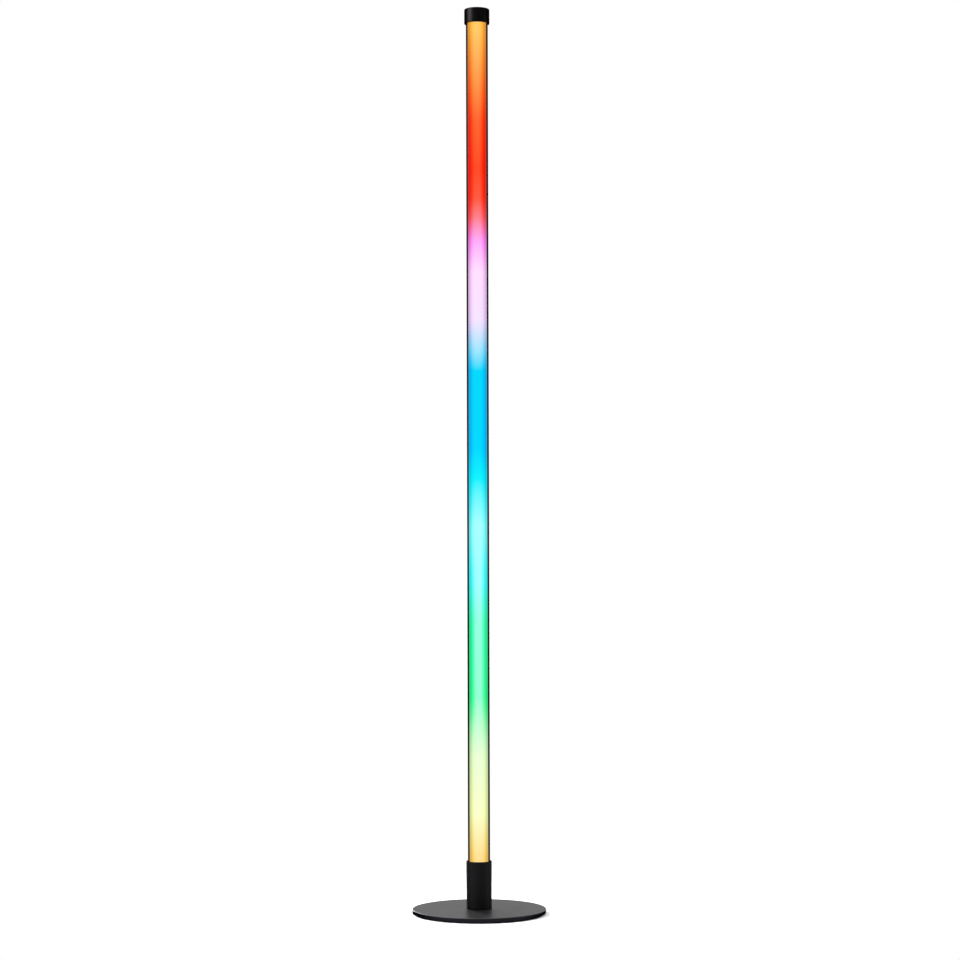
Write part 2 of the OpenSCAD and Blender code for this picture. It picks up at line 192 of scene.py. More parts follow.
class Graph:
    """A node tree that is written from code, for a material or for geometry."""

    def __init__(self, tree: bpy.types.NodeTree) -> None:
        """Takes over the tree and empties it."""
        self.tree = tree
        self.tree.nodes.clear()

    @staticmethod
    def _pick(sockets: Iterable[bpy.types.NodeSocket], key: int | str) -> bpy.types.NodeSocket:
        """Finds a socket by its place, or by its name among those in use.

        Args:
            sockets: the node's inputs or outputs.
            key: the socket's place or name.

        Returns:
            The socket.
        """
        if isinstance(key, int):
            return list(sockets)[key]
        return next(s for s in sockets if s.name == key and s.enabled)

    def node(
        self,
        kind: str,
        settings: Mapping[str, Any] | None = None,
        inputs: Mapping[int | str, Any] | None = None,
    ) -> bpy.types.Node:
        """Adds a node of any kind.

        Args:
            kind: the node's type name.
            settings: its own settings, set before its sockets. The key "stops" fills a colour ramp.
            inputs: values or expressions for its sockets, by name or by place.

        Returns:
            The new node.
        """
        made = self.tree.nodes.new(kind)
        for name, value in (settings or {}).items():
            if name == "stops":
                self._fill_ramp(made.color_ramp, value)
            else:
                setattr(made, name, value)
        for key, value in (inputs or {}).items():
            socket = self._pick(made.inputs, key)
            if isinstance(value, Expr):
                self.tree.links.new(value.socket, socket)
            else:
                socket.default_value = value
        return made

    def add(
        self,
        kind: str,
        settings: Mapping[str, Any] | None = None,
        inputs: Mapping[int | str, Any] | None = None,
        output: int | str | None = None,
    ) -> Expr:
        """Adds a node and gives one of its outputs.

        Args:
            kind: the node's type name.
            settings: its own settings.
            inputs: values or expressions for its sockets.
            output: the name or place of the output, or None for the first in use.

        Returns:
            The output as an expression.
        """
        made = self.node(kind, settings, inputs)
        if output is None:
            return Expr(self, next(s for s in made.outputs if s.enabled))
        return Expr(self, self._pick(made.outputs, output))

    @staticmethod
    def _fill_ramp(ramp: bpy.types.ColorRamp, stops: Sequence[tuple[float, Colour]]) -> None:
        """Gives a colour ramp its stops.

        Args:
            ramp: the ramp.
            stops: the place and colour of each stop, from the first to the last.
        """
        ramp.interpolation = "LINEAR"
        while len(ramp.elements) < len(stops):
            ramp.elements.new(1.0)
        for element, (place, colour) in zip(ramp.elements, stops, strict=True):
            element.position = place
            element.color = colour

    def axis(self, name: str) -> Expr:
        """The object's own X, Y or Z at the shaded point, in metres."""
        return self.add("ShaderNodeSeparateXYZ", None, {0: self.place()}, name)

    def place(self) -> Expr:
        """The object's own coordinates at the shaded point."""
        return self.add("ShaderNodeTexCoord", None, None, "Object")

    def radius(self) -> Expr:
        """Distance of the shaded point from the object's own Z axis, in metres."""
        x, y = self.axis("X"), self.axis("Y")
        return (x * x + y * y).root()

    def noise(self, cell: float, stretch: Span = (1.0, 1.0), detail: float = 3.0) -> Expr:
        """Smooth noise with cells of a real size.

        Args:
            cell: size of a cell in metres.
            stretch: factors across and along Z, for a drawn or brushed look.
            detail: how many finer layers are added.

        Returns:
            A number from 0 to 1.
        """
        across, along = stretch
        scale = (1 / (cell * across), 1 / (cell * across), 1 / (cell * along))
        grid = self.add("ShaderNodeMapping", None, {"Vector": self.place(), "Scale": scale})
        inputs = {"Vector": grid, "Scale": 1.0, "Detail": detail, "Roughness": NOISE_FALLOFF}
        return self.add("ShaderNodeTexNoise", None, inputs, 0)

    def mix(self, factor: Expr | float, low: Expr | Colour, high: Expr | Colour) -> Expr:
        """Blends two colours."""
        inputs = {"Factor": factor, "A": low, "B": high}
        return self.add("ShaderNodeMix", {"data_type": "RGBA"}, inputs, "Result")

    def scaled(self, colour: Expr, by: Expr | float) -> Expr:
        """Makes a colour lighter or darker."""
        return self.add("ShaderNodeVectorMath", {"operation": "SCALE"}, {0: colour, "Scale": by})

    def bump(self, height: Expr, depth: float) -> Expr:
        """Turns a height from 0 to 1 into a surface normal, with its full depth in metres."""
        return self.add("ShaderNodeBump", None, {"Height": height, "Distance": depth, "Strength": 1.0})


# ---------------------------------------------------------------------------------------------
# Finishes
# ---------------------------------------------------------------------------------------------


@dataclass(frozen=True)
class Finish:
    """A surface finish: its colour, how rough it is and how it shines.

    The glance tints its reflections: on a metal those at a low angle, and otherwise those seen straight on.
    """

    title: str
    colour: str
    roughness: float = 0.5
    metallic: float = 0.0
    specular: float = 0.5
    glance: str = "#ffffff"

    def material(self) -> bpy.types.Material:
        """Builds the finish's material.

        Returns:
            The material, with its node tree.
        """
        made = bpy.data.materials.new(self.title)
        made.use_nodes = True
        made.diffuse_color = srgb(self.colour)
        graph = Graph(made.node_tree)
        skin: Sockets = {
            "Base Color": srgb(self.colour),
            "Roughness": self.roughness,
            "Metallic": self.metallic,
            "Specular IOR Level": self.specular,
            "Specular Tint": srgb(self.glance),
        }
        skin.update(self.dress(graph))
        shader = graph.add("ShaderNodeBsdfPrincipled", None, skin)
        graph.node("ShaderNodeOutputMaterial", {"target": "ALL"}, {"Surface": shader})
        return made

    def dress(self, graph: Graph) -> Sockets:
        """Gives the sockets that vary over the surface.

        Args:
            graph: the material's node tree.

        Returns:
            The sockets that vary, by name.
        """
        raise NotImplementedError

    def varied(self, colour: Expr, sheen: Expr, normal: Expr) -> Sockets:
        """The three sockets that every finish varies.

        Args:
            colour: the base colour.
            sheen: what is added to the finish's own roughness.
            normal: the surface normal.

        Returns:
            The sockets by name.
        """
        return {"Base Color": colour, "Roughness": self.roughness + sheen, "Normal": normal}


@cache
def paint(look: Finish) -> bpy.types.Material:
    """The one material of a finish, made when it is first asked for."""
    return look.material()


@dataclass(frozen=True)
class PowderCoat(Finish):
    """Baked powder on a steel disc: a fine orange peel, a painted highlight line round the upper edge, and
    painted shade on the rim, which is made a dark metal there.
    """

    peel: float = 0.9 * MM
    peel_depth: float = 0.012 * MM
    cloud: float = 38 * MM
    cloud_gain: float = 1.35
    clouded: float = 0.35
    cloud_sheen: float = 0.08
    dust: float = 1.6 * MM
    dust_cover: Span = (0.69, 0.78)
    dust_colour: str = "#55565a"
    dusted: float = 0.12
    dust_sheen: float = 0.12
    top: float = 0.0
    rim: float = 1.0
    # a paler band round the upper edge: a painted highlight, standing in for the edge's reflection
    highlight_line_width: float = 0.45 * MM
    highlight_line_soft: float = 0.1 * MM
    highlight_line_colour: str = "#4a4b4e"
    highlight_line_share: float = 0.7
    # the rim below the edge is made a dark metal, which takes no diffuse light and little grazing reflection:
    # painted shade
    rim_shade_colour: str = "#17171a"
    rim_shade_depth: Span = (0.35 * MM, 0.8 * MM)
    rim_shade_inset: Span = (0.4 * MM, 1.2 * MM)

    def dress(self, graph: Graph) -> Sockets:
        """Peel, cloudy sheen, dust, a painted highlight line round the upper edge, and painted shade on the
        rim below it, which turns to dark metal.

        Args:
            graph: the material's node tree.

        Returns:
            The sockets that vary, by name.
        """
        peel = graph.noise(self.peel, detail=2.0)
        cloud = graph.noise(self.cloud)
        dust = graph.noise(self.dust, detail=1.0).rising(*self.dust_cover)
        tone = graph.mix(cloud * self.clouded, srgb(self.colour), toned(self.colour, self.cloud_gain))
        tone = graph.mix(dust * self.dusted, tone, srgb(self.dust_colour))
        z, radius = graph.axis("Z"), graph.radius()
        # painted highlight: a paler line round the upper edge
        edge = (radius - self.rim).band(-self.highlight_line_width, 0.0, self.highlight_line_soft)
        edge = edge * z.rising(self.top - 2 * self.highlight_line_width, self.top - self.highlight_line_width)
        tone = graph.mix(edge * self.highlight_line_share, tone, srgb(self.highlight_line_colour))
        # painted shade: the rim below the edge becomes dark metal
        below = 1 - z.rising(self.top - self.rim_shade_depth[1], self.top - self.rim_shade_depth[0])
        wall = below * radius.rising(self.rim - self.rim_shade_inset[1], self.rim - self.rim_shade_inset[0])
        tone = graph.mix(wall, tone, srgb(self.rim_shade_colour))
        sheen = cloud.swing(self.cloud_sheen) + dust * self.dust_sheen
        return self.varied(tone, sheen, graph.bump(peel, self.peel_depth)) | {"Metallic": wall}


@dataclass(frozen=True)
class DrawnMetal(Finish):
    """Drawn or extruded aluminium with fine lines along its length."""

    metallic: float = 1.0
    line: float = 0.35 * MM
    line_stretch: float = 260.0
    line_depth: float = 0.004 * MM
    line_share: float = 0.6
    line_sheen: float = 0.10
    streak: float = 3.5 * MM
    streak_stretch: float = 60.0
    cloud: float = 24 * MM
    cloud_sheen: float = 0.06
    contrast: float = 0.25

    def dress(self, graph: Graph) -> Sockets:
        """Fine die lines and broader streaks along Z, with a faint cloud in the sheen.

        Args:
            graph: the material's node tree.

        Returns:
            The sockets that vary, by name.
        """
        lines = graph.noise(self.line, (1.0, self.line_stretch), detail=2.0)
        streaks = graph.noise(self.streak, (1.0, self.streak_stretch), detail=1.0)
        cloud = graph.noise(self.cloud)
        dark, light = (toned(self.colour, 1 + sign * self.contrast) for sign in (-1, 1))
        tone = graph.mix(lines * self.line_share + streaks * (1 - self.line_share), dark, light)
        sheen = lines.swing(self.line_sheen) + cloud.swing(self.cloud_sheen)
        return self.varied(tone, sheen, graph.bump(lines, self.line_depth))


@dataclass(frozen=True)
class Anodised(DrawnMetal):
    """Drawn aluminium under a black anodic film, which half fills the die lines."""

    line_depth: float = 0.0015 * MM


@dataclass(frozen=True)
class FineMoulding(Finish):
    """Moulded plastic with a fine spark-eroded texture."""

    grain: float = 0.28 * MM
    grain_depth: float = 0.010 * MM
    grain_sheen: float = 0.06
    flow: float = 9 * MM
    flow_gain: float = 1.3
    flow_lift: float = 0.002
    flow_share: float = 0.5
    flow_sheen: float = 0.10

    def dress(self, graph: Graph) -> Sockets:
        """A fine even grain, with slow changes of sheen where the melt flowed.

        Args:
            graph: the material's node tree.

        Returns:
            The sockets that vary, by name.
        """
        grain = graph.noise(self.grain, detail=1.0)
        flow = graph.noise(self.flow)
        paler = toned(self.colour, self.flow_gain, self.flow_lift)
        tone = graph.mix(flow * self.flow_share, srgb(self.colour), paler)
        sheen = flow.swing(self.flow_sheen) + grain.swing(self.grain_sheen)
        return self.varied(tone, sheen, graph.bump(grain, self.grain_depth))


@dataclass(frozen=True)
class FoamRubber(Finish):
    """Closed-cell foam with a skin of fine open cells."""

    cell: float = 0.7 * MM
    cell_depth: float = 0.05 * MM
    cell_share: float = 0.6
    wear: float = 16 * MM
    wear_share: float = 0.3
    wear_sheen: float = 0.08
    worn_colour: str = "#1c1b1a"

    def dress(self, graph: Graph) -> Sockets:
        """Small dark cells in a dull, worn skin.

        Args:
            graph: the material's node tree.

        Returns:
            The sockets that vary, by name.
        """
        scale = (1 / self.cell,) * 3
        grid = graph.add("ShaderNodeMapping", None, {"Vector": graph.place(), "Scale": scale})
        cells = graph.add("ShaderNodeTexVoronoi", None, {"Vector": grid, "Scale": 1.0}, "Distance")
        wear = graph.noise(self.wear)
        worn = cells * self.cell_share + wear * self.wear_share
        tone = graph.mix(worn, srgb(self.colour), srgb(self.worn_colour))
        return self.varied(tone, wear.swing(self.wear_sheen), graph.bump(cells, self.cell_depth))


@dataclass(frozen=True)
class PlatedMetal(Finish):
    """Plated or blackened steel and plated brass."""

    metallic: float = 1.0
    mark: float = 0.12 * MM
    mark_stretch: float = 6.0
    mark_depth: float = 0.003 * MM
    mark_sheen: float = 0.12
    stain: float = 1.8 * MM
    stain_cover: Span = (0.45, 0.75)
    stain_gain: float = 0.72
    stain_sheen: float = 0.08

    def dress(self, graph: Graph) -> Sockets:
        """Fine tool marks and slight stains.

        Args:
            graph: the material's node tree.

        Returns:
            The sockets that vary, by name.
        """
        marks = graph.noise(self.mark, (1.0, self.mark_stretch), detail=2.0)
        stain = graph.noise(self.stain)
        stained = stain.rising(*self.stain_cover)
        tone = graph.mix(stained, srgb(self.colour), toned(self.colour, self.stain_gain))
        sheen = marks.swing(self.mark_sheen) + stain.swing(self.stain_sheen)
        return self.varied(tone, sheen, graph.bump(marks, self.mark_depth))


@dataclass(frozen=True)
class SolderMask(Finish):
    """A lacquered circuit: copper tracks under the mask and tinned pads along two rows.

    What a pad or a track fills of its pitch is given as shares of the pitch.
    """

    pad_pitch: float = 2.4 * MM
    pad_filled: Span = (0.25, 0.75)
    pad_end_soft: float = 0.05
    pad_half_width: float = 0.7 * MM
    pad_x: float = 9.0 * MM
    pad_soft: float = 0.1 * MM
    pad_colour: str = "#c9c6bd"
    pad_metal: float = 0.9
    track: float = 1.3 * MM
    track_filled: Span = (0.30, 0.70)
    track_soft: float = 0.06
    track_gain: float = 1.5
    track_shown: float = 0.6
    track_bend: float = 6 * MM
    track_sway: float = 2 * MM
    relief: float = 0.03 * MM
    grain: float = 0.5 * MM
    grain_sheen: float = 0.1

    def dress(self, graph: Graph) -> Sockets:
        """Tracks as slightly raised bands of another tone, and two rows of pads.

        Args:
            graph: the material's node tree.

        Returns:
            The sockets that vary, by name.
        """
        x, z = graph.axis("X"), graph.axis("Z")
        sway = graph.noise(self.track_bend, detail=0.0) * self.track_sway
        tracks = (x + sway).repeated(self.track).band(*self.track_filled, self.track_soft)
        along = z.repeated(self.pad_pitch).band(*self.pad_filled, self.pad_end_soft)
        across = abs(abs(x) - self.pad_x)
        pads = along * (1 - across.rising(self.pad_half_width, self.pad_half_width + self.pad_soft))
        track_tone = toned(self.colour, self.track_gain)
        tone = graph.mix(tracks * self.track_shown, srgb(self.colour), track_tone)
        tone = graph.mix(pads, tone, srgb(self.pad_colour))
        sheen = graph.noise(self.grain).swing(self.grain_sheen)
        skin = self.varied(tone, sheen, graph.bump(tracks + pads, self.relief))
        return skin | {"Metallic": pads * self.pad_metal}


@dataclass(frozen=True)
class TinnedCeramic(Finish):
    """A fired ceramic chip part with tinned ends."""

    half_length: float = 1.0 * MM
    end: Span = (0.62, 0.68)
    tin_colour: str = "#d3d4d6"
    tin_sheen: float = -0.25
    body_colour: str = "#7d6443"
    grain: float = 0.1 * MM
    grain_depth: float = 0.004 * MM

    def dress(self, graph: Graph) -> Sockets:
        """Bright ends and a body of two browns in fine grains.

        Args:
            graph: the material's node tree.

        Returns:
            The sockets that vary, by name.
        """
        start, full = (share * self.half_length for share in self.end)
        ends = abs(graph.axis("X")).rising(start, full)
        grain = graph.noise(self.grain, detail=1.0)
        body = graph.mix(grain, srgb(self.colour), srgb(self.body_colour))
        tone = graph.mix(ends, body, srgb(self.tin_colour))
        skin = self.varied(tone, ends * self.tin_sheen, graph.bump(grain, self.grain_depth))
        return skin | {"Metallic": ends}


@dataclass(frozen=True)
class WireSkin(Finish):
    """Insulation of a three-wire lead: each wire has its own colour, by its place across the lead."""

    pitch: float = 2.0 * MM
    border: Span = (0.45, 0.55)
    left_colour: str = "#e8e6e0"
    middle_colour: str = "#1f7d3a"
    ripple: float = 0.25 * MM
    ripple_width: float = 4.0
    ripple_depth: float = 0.01 * MM
    ripple_sheen: float = 0.1

    def dress(self, graph: Graph) -> Sockets:
        """White, green and the finish's own red side by side, with a fine extruded ripple.

        Args:
            graph: the material's node tree.

        Returns:
            The sockets that vary, by name.
        """
        x = graph.axis("X")
        ripple = graph.noise(self.ripple, (self.ripple_width, 1.0), detail=1.0)
        near, far = (share * self.pitch for share in self.border)
        tone = graph.mix(x.rising(-far, -near), srgb(self.left_colour), srgb(self.middle_colour))
        tone = graph.mix(x.rising(near, far), tone, srgb(self.colour))
        return self.varied(tone, ripple.swing(self.ripple_sheen), graph.bump(ripple, self.ripple_depth))


@dataclass(frozen=True)
class Phosphor(Finish):
    """The yellow gel of a light package, which glows."""

    glow: str = "#ffe9a8"
    pale_colour: str = "#f7ecae"
    mottled: float = 0.4
    grain: float = 0.15 * MM
    grain_depth: float = 0.006 * MM
    grain_sheen: float = 0.1

    def dress(self, graph: Graph) -> Sockets:
        """Grains of phosphor in the gel.

        Args:
            graph: the material's node tree.

        Returns:
            The sockets that vary, by name.
        """
        grain = graph.noise(self.grain, detail=1.0)
        tone = graph.mix(grain, srgb(self.colour), srgb(self.pale_colour))
        glow = graph.mix(grain * self.mottled, srgb(self.glow), srgb(self.colour))
        skin = self.varied(tone, grain.swing(self.grain_sheen), graph.bump(grain, self.grain_depth))
        return skin | {"Emission Color": glow, "Emission Strength": 1.0}


@dataclass(frozen=True)
class Zone:
    """One colour on the way up the light, and its height in metres."""

    name: str
    height: float
    colour: str


ZONES = (
    Zone("amber foot", 0.085, "#ffe094"),
    Zone("straw", 0.150, "#fbffcc"),
    Zone("pale leaf", 0.235, "#ecffd8"),
    Zone("green", 0.325, "#98ffd4"),
    Zone("mint", 0.435, "#98ffe0"),
    Zone("aqua", 0.495, "#a4ffff"),
    Zone("bright aqua", 0.580, "#a8ffff"),
    Zone("deep cyan", 0.650, "#14f2ff"),
    Zone("azure", 0.695, "#04daff"),
    Zone("sky blue", 0.812, "#04daff"),
    Zone("ice", 0.842, "#a0e6ff"),
    Zone("lilac white", 0.888, "#f6e4ff"),
    Zone("lilac", 0.960, "#ffdfff"),
    Zone("pink", 1.005, "#ffaefa"),
    Zone("rose", 1.042, "#ff8288"),
    Zone("coral", 1.070, "#ff5c40"),
    Zone("red", 1.115, "#ff4c28"),
    Zone("vermilion", 1.190, "#ff6832"),
    Zone("orange", 1.257, "#ffa050"),
    Zone("amber head", 1.325, "#ffca6a"),
)


@dataclass(frozen=True)
class OpalGlow(Finish):
    """Opal plastic lit from behind: its colours change with height and deepen towards the flanks.

    Heights are in metres. What lies round the pole is given as shares of its radius, from the middle.
    """

    radius: float = 16.5 * MM
    low: float = 0.0
    high: float = 1.0
    unlit: float = 0.008
    flank: Span = (0.05, 0.66)
    deepened: float = 0.68
    green: Span = (0.33, 0.49)
    green_soft: float = 0.08
    green_deepened: float = 1.4
    dimming: Span = (0.46, 0.76)
    dimmed: float = 0.28
    lip: Span = (0.745, 0.845)
    lip_soft: float = 0.03
    lip_gain: float = 0.97
    # grey mixed into the glow along the lip: a painted reflection
    lip_reflection_share: float = 0.03
    lip_reflection_colour: str = "#c8c4c0"
    behind_lip: float = 0.45
    behind_soft: float = 0.02
    grain: float = 0.4 * MM
    grain_depth: float = 0.004 * MM
    grain_sheen: float = 0.1

    def zones(self, graph: Graph, height: Expr) -> Expr:
        """The pale colours down the middle, as a ramp over the height of the light.

        Args:
            graph: the material's node tree.
            height: height of the shaded point.

        Returns:
            The colour at that height.
        """
        span = self.high - self.low
        stops = [((zone.height - self.low) / span, srgb(zone.colour)) for zone in ZONES]
        return graph.add("ShaderNodeValToRGB", {"stops": stops}, {0: (height - self.low) / span}, "Color")

    def dress(self, graph: Graph) -> Sockets:
        """The ramp, raised to a power by how far round the pole a point lies, and the lip band, a little
        darker with grey mixed in as a painted reflection.

        Args:
            graph: the material's node tree.

        Returns:
            The sockets that vary, by name.
        """
        height, aside = graph.axis("Z"), abs(graph.axis("X")) / self.radius
        deeper = self.deepened + height.band(*self.green, self.green_soft) * self.green_deepened
        turned = aside.rising(*self.flank)
        power = 1 + turned * turned * deeper
        light = graph.add("ShaderNodeGamma", None, {"Color": self.zones(graph, height), "Gamma": power})
        light = graph.scaled(light, 1 - aside.rising(*self.dimming) * self.dimmed)
        # the lip band: the glow a little darker, with a painted grey reflection mixed in
        lip = graph.mix(self.lip_reflection_share, graph.scaled(light, self.lip_gain), srgb(self.lip_reflection_colour))
        light = graph.mix(aside.band(*self.lip, self.lip_soft), light, lip)
        shade = aside.rising(self.lip[1], self.lip[1] + self.behind_soft)
        light = graph.scaled(light, 1 - shade * (1 - self.behind_lip))
        grain = graph.noise(self.grain, detail=1.0)
        own = graph.scaled(light, self.unlit)
        skin = self.varied(own, grain.swing(self.grain_sheen), graph.bump(grain, self.grain_depth))
        return skin | {"Emission Color": light, "Emission Strength": 1.0}


class Look(Enum):
    """The finishes that need nothing from the frame."""

    ANODISED = Anodised("black_anodised_profile", "#222224", 0.38, glance="#38383a")
    SLEEVE = Anodised("black_anodised_sleeve", "#151516", 0.50, glance="#bcbcbe")
    BARE = DrawnMetal("bare_aluminium", "#c9cbce", 0.32, contrast=0.08)
    CAP = FineMoulding("black_cap_lacquer", "#0b0a0a", 0.38, metallic=1.0, glance="#5a5a5a")
    BUTTON = FineMoulding("button_moulding", "#26272a", 0.44, specular=0.4)
    INLET = FineMoulding("inlet_moulding", "#0c0c0d", 0.30, grain_depth=0.003 * MM)
    CHIP = FineMoulding("chip_moulding", "#141517", 0.55)
    NYLON = FineMoulding("natural_nylon", "#ddd8c8", 0.42, grain_depth=0.004 * MM)
    HOUSING = FineMoulding("package_housing", "#f0efe9", 0.45, grain_depth=0.002 * MM)
    FOAM = FoamRubber("foam_pad", "#0a0a0a", 0.86, specular=0.1)
    ZINC = PlatedMetal("zinc_plate", "#c3c6ca", 0.30)
    BLACK_STEEL = PlatedMetal("black_oxide_steel", "#17181a", 0.38, metallic=0.6)
    BRASS = PlatedMetal("plated_brass", "#d8b25a", 0.24)
    GREEN_BOARD = SolderMask("green_board", "#14572c", 0.35)
    WHITE_BOARD = SolderMask("white_strip", "#e9e8e2", 0.42, track_gain=0.88, pad_x=3.6 * MM)
    CERAMIC = TinnedCeramic("chip_capacitor", "#957a52", 0.55)
    WIRES = WireSkin("three_wire_lead", "#b3261e", 0.40)
    PHOSPHOR = Phosphor("package_phosphor", "#f0d868", 0.30)


# ---------------------------------------------------------------------------------------------
# Meshes
# ---------------------------------------------------------------------------------------------


def arc(centre: Point, radius: float, start: float, end: float, steps: int) -> list[Point]:
    """Points along an arc.

    Args:
        centre: the arc's centre.
        radius: its radius.
        start: first angle in degrees, from the first axis.
        end: last angle in degrees.
        steps: how many stretches the arc has.

    Returns:
        The points, one more than the steps.
    """
    angles = [math.radians(start + (end - start) * i / steps) for i in range(steps + 1)]
    return [(centre[0] + radius * math.cos(a), centre[1] + radius * math.sin(a)) for a in angles]


def ring(centre: Point, radius: float, steps: int) -> list[Point]:
    """Points round a full circle, of which the last doesn't repeat the first."""
    return arc(centre, radius, 0, 360 - 360 / steps, steps - 1)


def fine(profile: Sequence[Point], step: float) -> list[Point]:
    """Splits the long stretches of a closed profile, so that none is longer than step.

    Args:
        profile: the closed profile's points.
        step: the longest stretch that is left.

    Returns:
        The profile with points added on its straight stretches.
    """
    points: list[Point] = []
    for (x0, y0), (x1, y1) in zip(profile, [*profile[1:], profile[0]], strict=True):
        parts = max(1, math.ceil(math.hypot(x1 - x0, y1 - y0) / step))
        points += [(x0 + (x1 - x0) * i / parts, y0 + (y1 - y0) * i / parts) for i in range(parts)]
    return points


def to_object(title: str, bm: bmesh.types.BMesh, outward: bool = True) -> bpy.types.Object:
    """Turns a bmesh into an object whose faces point outwards and are smooth up to an angle.

    Args:
        title: the object's name.
        bm: the mesh, which is freed.
        outward: whether the faces are turned outwards first.

    Returns:
        The object, at the origin.
    """
    if outward:
        bmesh.ops.remove_doubles(bm, verts=bm.verts[:], dist=TOUCHING)
        bmesh.ops.recalc_face_normals(bm, faces=bm.faces[:])
    mesh = bpy.data.meshes.new(title)
    bm.to_mesh(mesh)
    bm.free()
    smooth(mesh)
    made = bpy.data.objects.new(title, mesh)
    bpy.context.scene.collection.objects.link(made)
    return made


def smooth(mesh: bpy.types.Mesh) -> None:
    """Shades a mesh smooth, with creases where its faces meet at an angle."""
    mesh.shade_smooth()
    mesh.set_sharp_from_angle(angle=SMOOTH_ANGLE)


def bridge(bm: bmesh.types.BMesh, low: Loop, high: Loop) -> None:
    """Joins two loops of points with faces, without the points that they share twice.

    Args:
        bm: the mesh.
        low: the first loop.
        high: the second, with as many points.
    """
    for i in range(len(low)):
        j = (i + 1) % len(low)
        corners = list(dict.fromkeys([low[i], low[j], high[j], high[i]]))
        if len(corners) > 2:
            bm.faces.new(corners)


def spun(profile: Sequence[Point], segments: int) -> bmesh.types.BMesh:
    """Turns a closed profile of radius and height about the Z axis.

    Args:
        profile: points of radius and height. Points on the axis become poles.
        segments: how many steps the full turn has.

    Returns:
        A closed mesh.
    """
    bm = bmesh.new()
    turns = [2 * math.pi * i / segments for i in range(segments)]
    loops = []
    for radius, height in profile:
        if radius < ON_AXIS:
            loops.append([bm.verts.new((0, 0, height))] * segments)
        else:
            loops.append([bm.verts.new((radius * math.cos(t), radius * math.sin(t), height)) for t in turns])
    for low, high in zip(loops, [*loops[1:], loops[0]], strict=True):
        bridge(bm, low, high)
    return bm


def prism(outline: Sequence[Point], levels: Sequence[Point], skin: float = math.inf) -> bmesh.types.BMesh:
    """Extrudes an outline along Z.

    Args:
        outline: the cross-section's points, in X and Y.
        levels: heights from below, each with how far the outer skin is drawn in there.
        skin: distance from the axis beyond which a point belongs to the outer skin.

    Returns:
        A closed mesh.
    """
    bm = bmesh.new()
    loops = []
    for height, inset in levels:
        loop = []
        for x, y in outline:
            radius = math.hypot(x, y)
            k = 1 - inset / radius if radius > skin else 1.0
            loop.append(bm.verts.new((x * k, y * k, height)))
        loops.append(loop)
    for low, high in zip(loops, loops[1:], strict=False):
        bridge(bm, low, high)
    bm.faces.new(loops[0][::-1])
    bm.faces.new(loops[-1])
    return bm


class Carving(Enum):
    """What tools do to a body."""

    CUT = "DIFFERENCE"
    FUSE = "UNION"


def carve(body: bpy.types.Object, tools: Sequence[bpy.types.Object], carving: Carving) -> bpy.types.Object:
    """Cuts tools out of a body, or fuses them to it, and removes the tools.

    Args:
        body: the object that is changed.
        tools: the objects that cut or join.
        carving: which of the two they do.

    Returns:
        The body, with a plain mesh.
    """
    for tool in tools:
        modifier = body.modifiers.new("carve", "BOOLEAN")
        modifier.operation = carving.value
        modifier.solver = "EXACT"
        modifier.object = tool
    settle(body)
    for tool in tools:
        bpy.data.objects.remove(tool)
    return body


def settle(piece: bpy.types.Object) -> bpy.types.Object:
    """Turns a piece's modifiers into a plain mesh, without doubled points or faces that have no area.

    Args:
        piece: the piece, which keeps its name and its materials.

    Returns:
        The piece.
    """
    bpy.context.view_layer.update()
    graph = bpy.context.evaluated_depsgraph_get()
    mesh = bpy.data.meshes.new_from_object(piece.evaluated_get(graph))
    piece.modifiers.clear()
    piece.data = mesh
    bm = bmesh.new()
    bm.from_mesh(mesh)
    bmesh.ops.remove_doubles(bm, verts=bm.verts[:], dist=WELD)
    bmesh.ops.dissolve_degenerate(bm, dist=WELD, edges=bm.edges[:])
    bm.to_mesh(mesh)
    bm.free()
    smooth(mesh)
    return piece


def laid_back(bm: bmesh.types.BMesh, height: float) -> bmesh.types.BMesh:
    """Lays a mesh that was turned about Z along +Y instead, with its axis at a height.

    Args:
        bm: the mesh, which is changed.
        height: height of its new axis.

    Returns:
        The mesh.
    """
    place = Matrix.Translation((0, 0, height)) @ Matrix.Rotation(-math.pi / 2, 4, "X")
    bmesh.ops.transform(bm, matrix=place, verts=bm.verts[:])
    return bm


def cutter(profile: Sequence[Point], segments: int, height: float) -> bpy.types.Object:
    """A cutter along +Y.

    Args:
        profile: its closed profile, as distances from its axis and along it.
        segments: how many steps the full turn has.
        height: height of its axis.

    Returns:
        The cutter.
    """
    return to_object("cutter", laid_back(spun(profile, segments), height))


def drill(radius: float, inner: float, outer: float, height: float, flare: float) -> bpy.types.Object:
    """A cutter along +Y with a flared mouth.

    Args:
        radius: radius of the hole.
        inner: where the hole starts, behind the axis.
        outer: where its mouth lies.
        height: height of its axis.
        flare: width of the chamfer at the mouth.

    Returns:
        The cutter.
    """
    past = 3 * MM
    wide = radius + flare + past
    profile = [(0, inner), (radius, inner), (radius, outer - flare), (wide, outer + past), (0, outer + past)]
    return cutter(profile, HOLE_STEPS, height)


